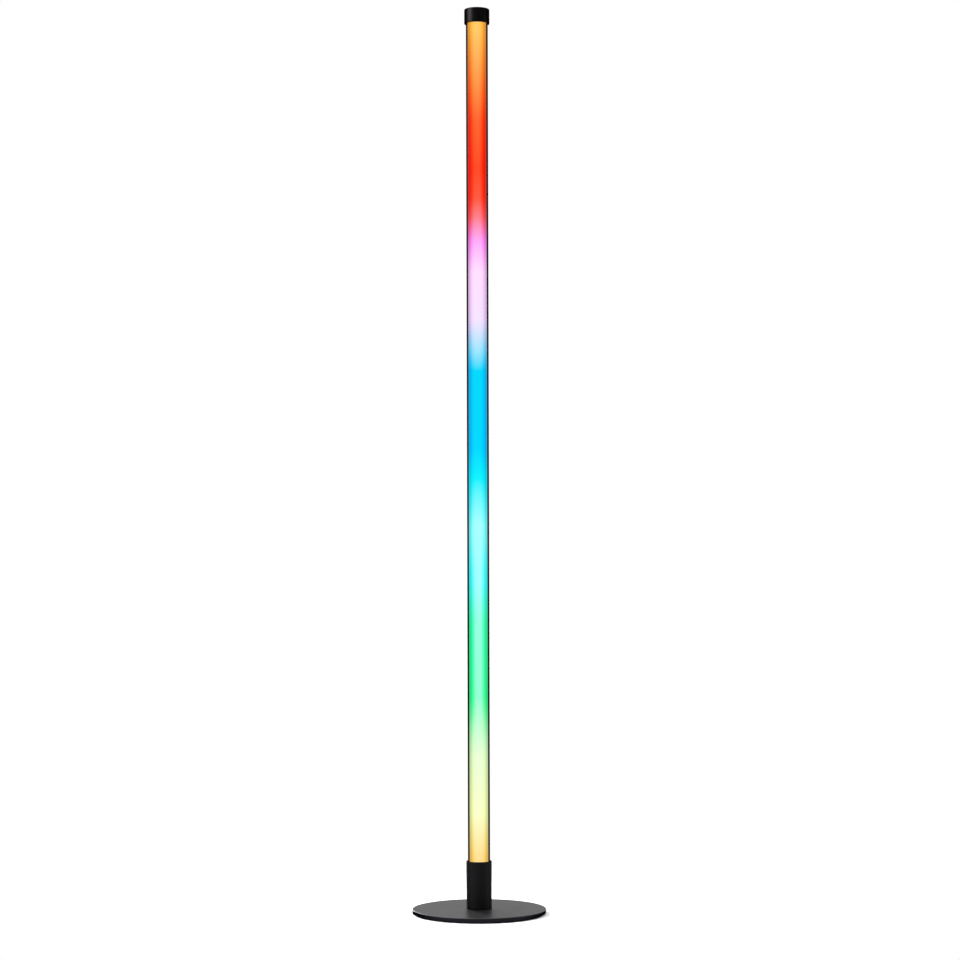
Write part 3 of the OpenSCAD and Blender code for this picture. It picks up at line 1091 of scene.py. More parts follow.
def socket_screw(profile: Sequence[Point], key: float, depth: float) -> bmesh.types.BMesh:
    """A screw with a hexagonal socket in its end face at height 0, reaching down from there.

    Args:
        profile: radius and height from the end face's edge down to the axis at the tip.
        key: width of the socket across its flats.
        depth: depth of the socket.

    Returns:
        A closed mesh.
    """
    segments, lead = 48, 0.12 * MM
    bm = bmesh.new()
    turns = [2 * math.pi * i / segments for i in range(segments)]

    def hexagon(turn: float) -> float:
        """Distance from the axis to the hexagon's side in that direction."""
        off = (turn + math.pi / 6) % (math.pi / 3) - math.pi / 6
        return key / 2 / math.cos(off)

    def loop(radius: Callable[[float], float], height: float) -> list[bmesh.types.BMVert]:
        """One ring of points."""
        return [bm.verts.new((radius(t) * math.cos(t), radius(t) * math.sin(t), height)) for t in turns]

    middle = bm.verts.new((0, 0, -depth))
    rings = [loop(hexagon, -depth), loop(hexagon, -lead), loop(lambda t: hexagon(t) + lead, 0)]
    rings += [loop(lambda t, r=radius: r, height) for radius, height in profile if radius > 0]
    for low, high in zip(rings, rings[1:], strict=False):
        bridge(bm, low, high)
    for near, far in zip(rings[0], [*rings[0][1:], rings[0][0]], strict=True):
        bm.faces.new((middle, far, near))
    bm.faces.new(rings[-1][::-1])
    return bm


def polished(node: str, title: str, edge: float) -> bpy.types.Object:
    """A copy of a CAD piece with its sharp edges rounded off.

    Args:
        node: the CAD piece.
        title: the name of the copy.
        edge: width of the rounding.

    Returns:
        The copy, which doesn't yet replace the CAD piece.
    """
    bm = bmesh.new()
    bm.from_mesh(bpy.data.objects[node].data)
    flat, sharp = math.radians(0.5), math.radians(40)
    bmesh.ops.remove_doubles(bm, verts=bm.verts[:], dist=WELD)
    bmesh.ops.dissolve_limit(bm, angle_limit=flat, verts=bm.verts[:], edges=bm.edges[:])
    made = to_object(title, bm, outward=False)
    modifier = made.modifiers.new("edges", "BEVEL")
    modifier.width = edge
    modifier.segments = 2
    modifier.limit_method = "ANGLE"
    modifier.angle_limit = sharp
    return settle(made)


# ---------------------------------------------------------------------------------------------
# Repeated pieces, made by Geometry Nodes
# ---------------------------------------------------------------------------------------------


class RowTree(Graph):
    """A Geometry Nodes tree that repeats something up the pole."""

    def __init__(self, title: str) -> None:
        """Makes the tree with its geometry output.

        Args:
            title: the tree's name.
        """
        super().__init__(bpy.data.node_groups.new(title, "GeometryNodeTree"))
        self.tree.interface.new_socket("Geometry", in_out="OUTPUT", socket_type="NodeSocketGeometry")
        self._inputs: dict[str, Any] = {}
        self._entry: bpy.types.Node | None = None

    def sizes(self, values: Mapping[str, float | int | bpy.types.Object]) -> dict[str, Expr]:
        """Makes the tree's named inputs.

        Args:
            values: the name and value of each input.

        Returns:
            The inputs as expressions.
        """
        kinds = {int: "Int", float: "Float"}
        for name, value in values.items():
            kind = "NodeSocket" + kinds.get(type(value), "Object")
            socket = self.tree.interface.new_socket(name, in_out="INPUT", socket_type=kind)
            self._inputs[socket.identifier] = value
        self._entry = self.tree.nodes.new("NodeGroupInput")
        return {name: Expr(self, self._pick(self._entry.outputs, name)) for name in values}

    def line(self, count: Expr | int, start: Expr | None, pitch: Expr) -> Expr:
        """Points up the pole, one pitch apart.

        Args:
            count: how many points there are.
            start: height of the first, or None for 0.
            pitch: how far apart they are.

        Returns:
            The points.
        """
        inputs: Sockets = {"Count": count, "Offset": self.up(pitch)}
        if start is not None:
            inputs["Start Location"] = self.up(start)
        return self.add("GeometryNodeMeshLine", {"mode": "OFFSET"}, inputs)

    def up(self, height: Expr) -> Expr:
        """A step along Z."""
        return self.add("ShaderNodeCombineXYZ", None, {"Z": height})

    def on(self, points: Expr, instance: Expr) -> Expr:
        """Puts an instance on each point."""
        return self.add("GeometryNodeInstanceOnPoints", None, {"Points": points, "Instance": instance})

    def joined(self, *parts: Expr) -> Expr:
        """Joins geometries into one.

        Args:
            parts: the geometries.

        Returns:
            All of them as one.
        """
        both = self.node("GeometryNodeJoinGeometry")
        for part in parts:
            self.tree.links.new(part.socket, both.inputs[0])
        return Expr(self, both.outputs[0])

    def real(self, shape: Expr) -> Expr:
        """Turns instances into geometry of their own."""
        return self.add("GeometryNodeRealizeInstances", None, {"Geometry": shape})

    def finish(self, title: str, shape: Expr, looks: Sequence[tuple[Look, Expr | bool]]) -> bpy.types.Object:
        """Ends the tree and turns its result into a plain piece.

        Args:
            title: the piece's name.
            shape: the instances.
            looks: finishes, each with the faces that take it.

        Returns:
            The piece, with no modifier left on it.
        """
        shape = self.real(shape)
        for look, faces in looks:
            inputs = {"Geometry": shape, "Selection": faces, "Material": paint(look.value)}
            shape = self.add("GeometryNodeSetMaterial", None, inputs)
        self.node("NodeGroupOutput", None, {"Geometry": shape})
        made = bpy.data.objects.new(title, bpy.data.meshes.new(title))
        bpy.context.scene.collection.objects.link(made)
        modifier = made.modifiers.new("row", "NODES")
        modifier.node_group = self.tree
        for identifier, value in self._inputs.items():
            modifier[identifier] = value
        return settle(made)


# ---------------------------------------------------------------------------------------------
# Sub-assemblies
# ---------------------------------------------------------------------------------------------


class Body(Enum):
    """The CAD bodies that a piece can ride on."""

    LAMP = "lamp"
    BUTTON = "button"


def fit(
    piece: bpy.types.Object,
    look: Finish | None,
    slot: str,
    *nodes: str,
    body: Body = Body.LAMP,
) -> None:
    """Gives a piece its finish, its body and the CAD nodes that it stands for, and reports it.

    Args:
        piece: the piece.
        look: its finish, or None where it has its own already.
        slot: the record's material slot; not used.
        nodes: the CAD nodes that it replaces.
        body: the CAD body that it moves with.
    """
    if look is not None:
        piece.data.materials.clear()
        piece.data.materials.append(paint(look))
    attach(piece, body.value)
    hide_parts(*nodes)
    LOG.info("%s: %d faces, rides on %s", piece.name, len(piece.data.polygons), body.value)


@dataclass
class DiscBase:
    """The disc, the pad under it and the screw that holds the sleeve."""

    edge: float = 0.8 * MM
    lower_edge: float = 0.35 * MM
    rings: Span = (0.6, 0.2)
    lower_ring: float = 0.9
    pad_hole_r: float = 11 * MM
    pad_edge: float = 0.5 * MM
    screw_fit: float = 0.1 * MM
    screw_edge: float = 0.15 * MM
    screw_tip: float = 0.6 * MM
    key: float = 5 * MM
    key_depth: float = 3 * MM
    segments: int = 256

    def build(self) -> None:
        """Makes the three pieces."""
        fit(self.disc(), self.coat(), "black_powder_coat", "base_disc")
        fit(self.pad(), Look.FOAM.value, "pad_rubber", "base_pad")
        fit(self.screw(), Look.ZINC.value, "zinc_steel", "base_screw")

    def coat(self) -> PowderCoat:
        """The disc's finish, which knows where the rim is.

        Returns:
            Baked powder, with the height of the disc's face and the radius of its rim.
        """
        _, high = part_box("base_disc")
        return PowderCoat(
            "baked_black_powder", "#131314", 0.42, specular=0.12, glance="#404042", top=high.z, rim=high.x
        )

    def disc(self) -> bpy.types.Object:
        """The steel disc, with a countersunk hole for the screw.

        Returns:
            The disc.
        """
        low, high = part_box("base_disc")
        _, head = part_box("base_screw")
        radius, head_r = high.x, head.x
        shank_r = head_r / 2 + self.screw_fit
        cone = head_r - shank_r
        top, under = self.edge, self.lower_edge
        profile = [(head_r, low.z), (radius * self.lower_ring, low.z)]
        profile += arc((radius - under, low.z + under), under, -90, 0, 4)
        profile += arc((radius - top, high.z - top), top, 0, 90, 8)
        profile += [(radius - 4 * top, high.z), *((radius * share, high.z) for share in self.rings)]
        profile += [(shank_r, high.z), (shank_r, low.z + cone)]
        return to_object("disc", spun(profile, self.segments))

    def pad(self) -> bpy.types.Object:
        """The foam ring under the disc.

        Returns:
            The pad.
        """
        low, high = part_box("base_pad")
        edge = self.pad_edge
        profile = [(self.pad_hole_r, low.z), (high.x - 8 * edge, low.z)]
        profile += arc((high.x - edge, low.z + edge), edge, -90, 0, 5)
        profile += [(high.x, high.z), (self.pad_hole_r, high.z)]
        return to_object("pad", spun(profile, self.segments))

    def screw(self) -> bpy.types.Object:
        """The countersunk screw, with its socket towards the floor.

        Returns:
            The screw, in its place under the disc.
        """
        low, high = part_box("base_screw")
        head_r, length = high.x, high.z - low.z
        shank_r, edge, tip = head_r / 2, self.screw_edge, self.screw_tip
        profile = [(head_r - edge, 0), (head_r, -edge), (shank_r, -head_r + shank_r)]
        profile += [(shank_r, tip - length), (shank_r - tip, -length)]
        bm = socket_screw(profile, self.key, self.key_depth)
        bmesh.ops.transform(bm, matrix=Matrix.Rotation(math.pi, 4, "X"), verts=bm.verts[:])
        bmesh.ops.translate(bm, vec=(0, 0, low.z), verts=bm.verts[:])
        return to_object("countersunk_screw", bm)


@dataclass
class FootSleeve:
    """The sleeve that holds the pole, its foot plug and its set screws."""

    edge: float = 0.5 * MM
    mouth: float = 0.2 * MM
    plug_edge: float = 0.25 * MM
    inlet_r: float = 4 * MM
    button_r: float = 3.5 * MM
    panel_fit: float = 0.2 * MM
    flare: float = 0.35 * MM
    screw_flare: float = 0.2 * MM
    seat_w: float = 1.8 * MM
    pole_fit: float = 0.3 * MM
    flange_seat: float = 0.5 * MM
    longest_face: float = 4 * MM
    segments: int = 192
    screw_heights: tuple[float, float] = (55 * MM, 68 * MM)

    def build(self) -> None:
        """Makes the sleeve and its plug."""
        fit(self.sleeve(), Look.SLEEVE.value, "black_sleeve", "base_sleeve")
        plug = polished("sleeve_foot_plug", "foot_plug", self.plug_edge)
        fit(plug, Look.BARE.value, "plain_aluminium", "sleeve_foot_plug")

    def sleeve(self) -> bpy.types.Object:
        """The tube, with the holes in its back.

        Returns:
            The sleeve.
        """
        low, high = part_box("base_sleeve")
        _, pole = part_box("end_plate")
        seat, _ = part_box("channel_lower")
        radius, bore = high.x, pole.x + self.pole_fit
        chamber = bore - self.seat_w
        profile = [(chamber, low.z)]
        profile += arc((radius - self.edge, low.z + self.edge), self.edge, -90, 0, 4)
        profile += arc((radius - self.edge, high.z - self.edge), self.edge, 0, 90, 6)
        profile += [(bore + self.mouth, high.z), (bore, high.z - self.mouth)]
        profile += [(bore, seat.z), (chamber, seat.z)]
        tube = to_object("foot_sleeve", spun(fine(profile, self.longest_face), self.segments))
        return carve(tube, self.cutters(radius, chamber), Carving.CUT)

    def cutters(self, radius: float, chamber: float) -> list[bpy.types.Object]:
        """Cutters for the inlet, the button and the set screws.

        Args:
            radius: the sleeve's outer radius.
            chamber: radius of the chamber for the controls.

        Returns:
            The cutters, with the well for the button's flange last.
        """
        inlet_z = sum(corner.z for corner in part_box("inlet_body")) / 2
        button_z = sum(corner.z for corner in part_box("mode_button")) / 2
        _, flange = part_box("mode_button")
        _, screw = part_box("sleeve_set_screws")
        cutters = [
            drill(self.inlet_r + self.panel_fit, 0, radius, inlet_z, self.flare),
            drill(self.button_r + self.panel_fit, 0, radius, button_z, self.flare),
        ]
        cutters += [drill(screw.x, 0, radius, z, self.screw_flare) for z in self.screw_heights]
        wide, seat = flange.x + self.panel_fit, chamber + self.flange_seat
        well = cutter([(0, 0), (wide, 0), (wide, seat), (0, seat)], HOLE_STEPS, button_z)
        return [*cutters, well]


class Section(Enum):
    """The pole's sections, from the foot up."""

    LOWER = "lower"
    MIDDLE = "middle"
    UPPER = "upper"


@dataclass
class Pole:
    """The three channel sections with what joins them, and the diffuser in their front.

    Angles are in degrees: the slot's half is measured from straight ahead, and the ports' from straight back.
    """

    wall: float = 1.6 * MM
    slot_half: float = 59.0
    web_y: float = 3 * MM
    web_t: float = 1.6 * MM
    rail_t: float = 1.2 * MM
    rail_setback: float = 2.0
    diffuser_t: float = 1.5 * MM
    tongue_t: float = 1.3 * MM
    tongue_w: float = 3.4 * MM
    shoulder_w: float = 1.6 * MM
    corner_step: float = 1.0
    diffuser_round: float = 0.25 * MM
    under_cap: float = 2 * MM
    play: float = 0.2 * MM
    lip_round: float = 0.3 * MM
    joint_edge: float = 0.15 * MM
    bar_edge: float = 0.3 * MM
    port_r: float = 2.2 * MM
    port_bore_r: float = 1.25 * MM
    port_sink: float = 0.6 * MM
    port_angle: float = 55.0
    screw_r: float = 2 * MM
    screw_gap: float = 0.1 * MM
    screw_flare: float = 0.2 * MM
    screw_to_joint: float = 20 * MM
    hole_inner: float = 10 * MM
    ring_to_hole: float = 4 * MM
    ring_to_end: float = 30 * MM
    radius: float = field(init=False)

    def __post_init__(self) -> None:
        """Reads the pole's radius from the frame."""
        _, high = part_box("end_plate")
        self.radius = high.x

    def build(self) -> None:
        """Makes every piece of the pole."""
        for part in Section:
            fit(self.section(part), Look.ANODISED.value, "black_anodised", f"channel_{part.value}")
        for node, title in (
            ("joiner_lower", "lower_joiner_bar"),
            ("joiner_upper", "upper_joiner_bar"),
            ("foot_insert", "foot_insert_bar"),
        ):
            fit(polished(node, title, self.bar_edge), Look.BARE.value, "plain_aluminium", node)
        fit(self.diffuser(), self.opal(), "opal_diffuser", "diffuser")

    def ahead(self, angle: float, radius: float) -> Point:
        """The point at an angle from straight ahead, towards +X."""
        turn = math.radians(angle)
        return (radius * math.sin(turn), -radius * math.cos(turn))

    def sweep(self, radius: float, start: float, end: float, steps: int) -> list[Point]:
        """Points along an arc about the pole's axis, by angles from straight ahead."""
        return [self.ahead(start + (end - start) * i / steps, radius) for i in range(steps + 1)]

    def shell_outline(self) -> list[Point]:
        """The open ring of the channel's wall, with rounded lips.

        Returns:
            The outline's points, round the outside and back along the inside.
        """
        rounding, halfway = math.degrees(self.lip_round / self.radius), 0.3
        start, end = self.slot_half, 360 - self.slot_half
        outline = [
            self.ahead(start, self.radius - self.lip_round),
            self.ahead(start + rounding * halfway, self.radius - self.lip_round * halfway),
        ]
        outline += self.sweep(self.radius, start + rounding, end - rounding, 110)
        outline += [
            self.ahead(end - rounding * halfway, self.radius - self.lip_round * halfway),
            self.ahead(end, self.radius - self.lip_round),
        ]
        return outline + self.sweep(self.radius - self.wall, end, start, 72)

    def section(self, part: Section) -> bpy.types.Object:
        """One channel section: wall, web, rails and screw ports, with its screw holes.

        Args:
            part: which of the three it is.

        Returns:
            The section.
        """
        low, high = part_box(f"channel_{part.value}")
        edge, skin = self.joint_edge, self.radius - self.wall / 2
        holes = [z for z in self.hole_heights() if low.z < z < high.z]
        rings = {z + sign * self.ring_to_hole for z in holes for sign in (-1, 1)}
        rings |= {low.z + self.ring_to_end, high.z - self.ring_to_end}
        levels = [(low.z, edge), (low.z + edge, 0.0)]
        levels += [(z, 0.0) for z in sorted(rings) if low.z < z < high.z]
        levels += [(high.z - edge, 0.0), (high.z, edge)]
        body = to_object(f"pole_{part.value}", prism(self.shell_outline(), levels, skin))
        flat = self.ends(low, high)
        inside = [to_object("web", prism(outline, flat)) for outline in self.inner_outlines()]
        body = carve(body, inside, Carving.FUSE)
        bores = [self.port_bore(side, low.z, high.z) for side in (-1, 1)]
        hole_r = self.screw_r + self.screw_gap
        drills = [drill(hole_r, self.hole_inner, self.radius, z, self.screw_flare) for z in holes]
        return carve(body, [*bores, *drills], Carving.CUT)

    @staticmethod
    def ends(low: Vector, high: Vector) -> list[Point]:
        """The two levels of a plain prism between the corners of a box."""
        return [(low.z, 0.0), (high.z, 0.0)]

    def hole_heights(self) -> list[float]:
        """Heights of the set screws that hold the sections.

        Returns:
            The sleeve's two heights, then one on each side of both joints.
        """
        joints = [corner.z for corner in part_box("channel_middle")]
        beside = [z + sign * self.screw_to_joint for z in joints for sign in (-1, 1)]
        return [*FootSleeve.screw_heights, *beside]

    def inner_outlines(self) -> list[list[Point]]:
        """The web, the rails and the screw ports.

        Returns:
            One outline each, closed.
        """
        bite, front, back = self.radius - self.wall / 2, self.web_y, self.web_y + self.web_t
        near, far = math.sqrt(bite**2 - front**2), math.sqrt(bite**2 - back**2)
        web = [(-near, front), (near, front), (far, back), (-far, back)]
        rail_r = self.radius - self.wall - 2 * self.play - self.tongue_t
        rail_end = math.degrees(math.acos(-(self.web_y + self.web_t / 2) / rail_r))
        outlines = [web]
        for side in (-1, 1):
            start, end = side * (self.slot_half + self.rail_setback), side * rail_end
            rail = self.sweep(rail_r, start, end, 16) + self.sweep(rail_r - self.rail_t, end, start, 16)
            outlines += [rail, ring(self.port_centre(side), self.port_r, 40)]
        return outlines

    def port_centre(self, side: int) -> Point:
        """Where a screw port lies.

        Args:
            side: -1 for the port towards -X, and 1 for the other.

        Returns:
            Its place in X and Y.
        """
        out = self.radius - self.wall - self.port_r + self.port_sink
        turn = math.radians(self.port_angle)
        return (side * out * math.sin(turn), out * math.cos(turn))

    def port_bore(self, side: int, low: float, high: float) -> bpy.types.Object:
        """The cutter of a port's bore, a little longer than the section."""
        outline = ring(self.port_centre(side), self.port_bore_r, 32)
        return to_object("bore", prism(outline, [(low - MM, 0.0), (high + MM, 0.0)]))

    def diffuser_outline(self) -> list[Point]:
        """The diffuser's section: a bowed front with a tongue behind each lip of the channel.

        Returns:
            The outline's points, along the front first.
        """
        half = self.slot_half - math.degrees(2 * self.play / self.radius)
        tongue_r = self.radius - self.wall - self.play
        tongue_in = tongue_r - self.tongue_t
        tongue_a = self.slot_half + math.degrees(self.tongue_w / tongue_r)
        shoulder = half - math.degrees(self.shoulder_w / tongue_r)
        rounding = math.degrees(self.diffuser_round / self.radius)
        front = [self.ahead(-half, self.radius - self.diffuser_round)]
        front += self.sweep(self.radius, -half + rounding, half - rounding, 96)
        front += [self.ahead(half, self.radius - self.diffuser_round), self.ahead(half, tongue_r)]
        past = half + self.corner_step
        right = self.sweep(tongue_r, past, tongue_a, 8) + self.sweep(tongue_in, tongue_a, shoulder, 10)
        inside = self.sweep(self.radius - self.diffuser_t, shoulder, -shoulder, 64)
        left = self.sweep(tongue_in, -shoulder, -tongue_a, 10) + self.sweep(tongue_r, -tongue_a, -past, 8)
        return [*front, *right, *inside, *left, self.ahead(-half, tongue_r)]

    def diffuser(self) -> bpy.types.Object:
        """The one-piece diffuser."""
        return to_object("opal_front", prism(self.diffuser_outline(), self.ends(*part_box("diffuser"))))

    def opal(self) -> OpalGlow:
        """The diffuser's finish, spread over its visible height.

        Returns:
            The glow, from the sleeve's rim to just under the cap.
        """
        _, sleeve_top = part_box("base_sleeve")
        cap_low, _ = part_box("top_cap")
        low, high = sleeve_top.z, cap_low.z + self.under_cap
        return OpalGlow("opal_glow", "#f2efe8", specular=0.006, radius=self.radius, low=low, high=high)


@dataclass
class LightEngine:
    """The strip inside the pole with its packages and capacitors, and its lead."""

    pitch: float = 16.6 * MM
    package: float = 5 * MM
    package_h: float = 1.6 * MM
    lens_r: float = 2.0 * MM
    lens_h: float = 0.15 * MM
    capacitor: tuple[float, float, float] = (2 * MM, 0.8 * MM, 1.2 * MM)
    edge: float = 0.05 * MM

    def build(self) -> None:
        """Makes the strip and what is on it."""
        strip = polished("light_strip", "flexible_strip", self.edge)
        fit(strip, Look.WHITE_BOARD.value, "white_circuit", "light_strip")
        fit(self.packages(), None, "light_package", "light_packages")
        fit(self.capacitors(), None, "capacitor_ceramic", "strip_capacitors")
        lead = polished("strip_lead", "three_wires", self.edge)
        fit(lead, Look.WIRES.value, "wire_insulation", "strip_lead")

    def spread(self, node: str, height: float) -> dict[str, float | int]:
        """How many parts of a kind lie up the pole, and where the first one does.

        Args:
            node: the CAD node that holds them.
            height: height of one part.

        Returns:
            The row's count, pitch and first height, named for a tree's inputs.
        """
        low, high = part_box(node)
        count = round((high.z - low.z - height) / self.pitch) + 1
        return {"Count": count, "Pitch": self.pitch, "First": low.z + height / 2}

    def block(self, tree: RowTree, size: Sequence[Expr | float], face_y: float) -> Expr:
        """A block whose back lies on the strip.

        Args:
            tree: the tree that it is made in.
            size: its size in X, Y and Z.
            face_y: where the strip's face lies.

        Returns:
            The block's geometry.
        """
        vector = tree.add("ShaderNodeCombineXYZ", None, dict(enumerate(size)))
        cube = tree.add("GeometryNodeMeshCube", None, {"Size": vector}, "Mesh")
        back = tree.add("ShaderNodeCombineXYZ", None, {"Y": face_y - size[1] / 2})
        return tree.add("GeometryNodeTransform", None, {"Geometry": cube, "Translation": back})

    def packages(self) -> bpy.types.Object:
        """The light packages: white housings with a round window of phosphor.

        Returns:
            All packages as one piece.
        """
        front, back = (corner.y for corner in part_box("light_packages"))
        tree = RowTree("light_package_row")
        part = {"Side": self.package, "Height": self.package_h, "Window radius": self.lens_r}
        size = tree.sizes(self.spread("light_packages", self.package) | part)
        body = self.block(tree, (size["Side"], size["Height"] - self.lens_h, size["Side"]), back)
        round_plate = {"Vertices": 20, "Radius": size["Window radius"], "Depth": self.lens_h}
        window = tree.add("GeometryNodeMeshCylinder", None, round_plate, "Mesh")
        place = {"Translation": (0, front + self.lens_h / 2, 0), "Rotation": (math.pi / 2, 0, 0)}
        window = tree.add("GeometryNodeTransform", None, {"Geometry": window} | place)
        mark, named = {"data_type": "BOOLEAN"}, {"Name": "window"}
        stored = {"Geometry": window, "Value": True} | named
        window = tree.add("GeometryNodeStoreNamedAttribute", mark | {"domain": "FACE"}, stored)
        places = tree.line(size["Count"], size["First"], size["Pitch"])
        row = tree.on(places, tree.joined(window, body))
        lit = tree.add("GeometryNodeInputNamedAttribute", mark, named, "Attribute")
        return tree.finish("light_package_row", row, [(Look.HOUSING, True), (Look.PHOSPHOR, lit)])

    def capacitors(self) -> bpy.types.Object:
        """The capacitors between the packages.

        Returns:
            All capacitors as one piece.
        """
        _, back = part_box("strip_capacitors")
        length, height, width = self.capacitor
        tree = RowTree("capacitor_row")
        part = {"Length": length, "Height": height, "Width": width}
        size = tree.sizes(self.spread("strip_capacitors", width) | part)
        body = self.block(tree, [size[name] for name in part], back.y)
        row = tree.on(tree.line(size["Count"], size["First"], size["Pitch"]), body)
        return tree.finish("capacitor_row", row, [(Look.CERAMIC, True)])


@dataclass
class SetScrews:
    """The set screws of the sleeve and of the joiners."""

    radius: float = 2 * MM
    key: float = 2 * MM
    key_depth: float = 2 * MM
    edge: float = 0.35 * MM
    cup: float = 0.5 * MM

    def build(self) -> None:
        """Makes both rows: one pair in the sleeve, and one at each end of the middle section."""
        low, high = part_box("channel_middle")
        row = self.row("sleeve_screw_pair", "sleeve_set_screws", 1, 0.0)
        fit(row, None, "black_steel", "sleeve_set_screws")
        row = self.row("joiner_screw_pairs", "joiner_set_screws", 2, high.z - low.z)
        fit(row, None, "black_steel", "joiner_set_screws")

    def screw(self, inner: float, outer: float) -> bpy.types.Object:
        """One set screw along +Y at height 0, with its socket at the outer end.

        Args:
            inner: where its cup end lies.
            outer: where its socket end lies.

        Returns:
            The screw.
        """
        length = outer - inner
        profile = [(self.radius - self.edge, 0), (self.radius, -self.edge)]
        profile += [(self.radius, self.cup - length), (self.radius - self.cup, -length)]
        bm = socket_screw(profile, self.key, self.key_depth)
        place = Matrix.Translation((0, outer, 0)) @ Matrix.Rotation(-math.pi / 2, 4, "X")
        bmesh.ops.transform(bm, matrix=place, verts=bm.verts[:])
        return to_object("set_screw", bm)

    def row(self, title: str, node: str, pairs: int, pair_pitch: float) -> bpy.types.Object:
        """Pairs of set screws up the pole.

        Args:
            title: the piece's name.
            node: the CAD node that holds them, which gives their places.
            pairs: how many pairs there are.
            pair_pitch: how far apart the pairs are.

        Returns:
            The screws as one piece.
        """
        low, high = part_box(node)
        first, last = low.z + self.radius, high.z - self.radius
        pitch = last - first - (pairs - 1) * pair_pitch
        screw = self.screw(low.y, high.y)
        tree = RowTree(title)
        size = tree.sizes(
            {"Screw": screw, "Pairs": pairs, "Pair pitch": pair_pitch, "First": first, "Pitch": pitch}
        )
        pair = tree.line(2, None, size["Pitch"])
        places = tree.on(tree.line(size["Pairs"], size["First"], size["Pair pitch"]), pair)
        source = tree.add("GeometryNodeObjectInfo", None, {"Object": size["Screw"]}, "Geometry")
        piece = tree.finish(title, tree.on(tree.real(places), source), [(Look.BLACK_STEEL, True)])
        bpy.data.objects.remove(screw)
        return piece


@dataclass
class TopCap:
    """The cap, the end plate under it and the plate's screws."""

    wall_fit: float = 0.15 * MM
    step: float = 0.8 * MM
    roof: float = 2.4 * MM
    edge: float = 1.4 * MM
    mouth: float = 0.35 * MM
    ring: float = 0.4
    plate_edge: float = 0.2 * MM
    screw_edge: float = 0.12 * MM
    segments: int = 192

    def build(self) -> None:
        """Makes the three pieces."""
        fit(self.cap(), Look.CAP.value, "cap_plastic", "top_cap")
        plate = polished("end_plate", "pole_end_plate", self.plate_edge)
        fit(plate, Look.ANODISED.value, "black_anodised", "end_plate")
        screws = polished("end_plate_screws", "end_plate_screw_pair", self.screw_edge)
        fit(screws, Look.ZINC.value, "zinc_steel", "end_plate_screws")

    def cap(self) -> bpy.types.Object:
        """The moulded cap, with a rounded upper edge and a softened mouth.

        Returns:
            The cap.
        """
        low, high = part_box("top_cap")
        _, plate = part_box("end_plate")
        radius, bore, ceiling = high.x, plate.x + self.wall_fit, high.z - self.roof
        mouth, edge = self.mouth, self.edge
        profile = [(bore, low.z + mouth), (bore + mouth, low.z)]
        profile += arc((radius - mouth, low.z + mouth), mouth, -90, 0, 4)
        profile += arc((radius - edge, high.z - edge), edge, 0, 90, 10)
        profile += [(radius - 3 * edge, high.z), (radius * self.ring, high.z), (0, high.z), (0, ceiling)]
        profile += [(bore - self.step, ceiling), (bore - self.step, plate.z), (bore, plate.z)]
        return to_object("pole_cap", spun(profile, self.segments))


@dataclass
class Controls:
    """The board in the sleeve, the power inlet and the button."""

    edge: float = 0.1 * MM
    dish_r: float = 2.35 * MM
    dish_depth: float = 0.32 * MM
    ring_r: float = 2.75 * MM
    ring_w: float = 0.16 * MM
    ring_depth: float = 0.14 * MM
    segments: int = 96

    def build(self) -> None:
        """Dresses the pieces of the board and the ones that show at the back."""
        pieces = (
            ("control_board", "board", Look.GREEN_BOARD, "green_circuit", Body.LAMP),
            ("control_chip", "board_chip", Look.CHIP, "chip_plastic", Body.LAMP),
            ("strip_connector", "board_connector", Look.NYLON, "connector_nylon", Body.LAMP),
            ("inlet_body", "inlet_housing", Look.INLET, "inlet_plastic", Body.LAMP),
            ("inlet_pin", "inlet_centre_pin", Look.BRASS, "contact_brass", Body.LAMP),
            ("inlet_contact", "inlet_side_contact", Look.BRASS, "contact_brass", Body.LAMP),
            ("switch_body", "switch_housing", Look.CHIP, "inlet_plastic", Body.LAMP),
            ("switch_plunger", "switch_stem", Look.NYLON, "connector_nylon", Body.BUTTON),
        )
        for node, title, look, slot, body in pieces:
            fit(polished(node, title, self.edge), look.value, slot, node, body=body)
        fit(self.button(), Look.BUTTON.value, "button_plastic", "mode_button", body=Body.BUTTON)

    def button(self) -> bpy.types.Object:
        """The button, with a dished face for the fingertip and a fine ring round the dish.

        Returns:
            The button.
        """
        low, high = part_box("mode_button")
        middle, face, past, overrun = (low.z + high.z) / 2, high.y, 0.5 * MM, 1.15
        ball_r = (self.dish_r**2 + self.dish_depth**2) / (2 * self.dish_depth)
        reach = math.degrees(math.asin(self.dish_r / ball_r)) * overrun
        dish = arc((0, face - self.dish_depth + ball_r), ball_r, -90, reach - 90, 16)
        dish += [(dish[-1][0], face + past), (0, face + past)]
        near, far = self.ring_r - self.ring_w / 2, self.ring_r + self.ring_w / 2
        floor = face - self.ring_depth
        groove = [(near, floor), (far, floor), (far, face + past), (near, face + past)]
        cutters = [cutter(shape, self.segments, middle) for shape in (dish, groove)]
        return carve(polished("mode_button", "push_button", self.edge), cutters, Carving.CUT)


# ---------------------------------------------------------------------------------------------
# Studio
# ---------------------------------------------------------------------------------------------


@dataclass(frozen=True)
class SoftBox:
    """A soft lamp: where it stands, what it points at, its size and its power."""

    title: str
    place: tuple[float, float, float]
    aim: tuple[float, float, float]
    width: float
    height: float
    watts: float

    def build(self) -> None:
        """Adds the lamp."""
        data = bpy.data.lights.new(self.title, "AREA")
        data.shape = "RECTANGLE"
        data.size = self.width
        data.size_y = self.height
        data.energy = self.watts
        lamp = bpy.data.objects.new(self.title, data)
        lamp.location = self.place
        lamp.rotation_euler = (Vector(self.aim) - Vector(self.place)).to_track_quat("-Z", "Y").to_euler()
        bpy.context.scene.collection.objects.link(lamp)


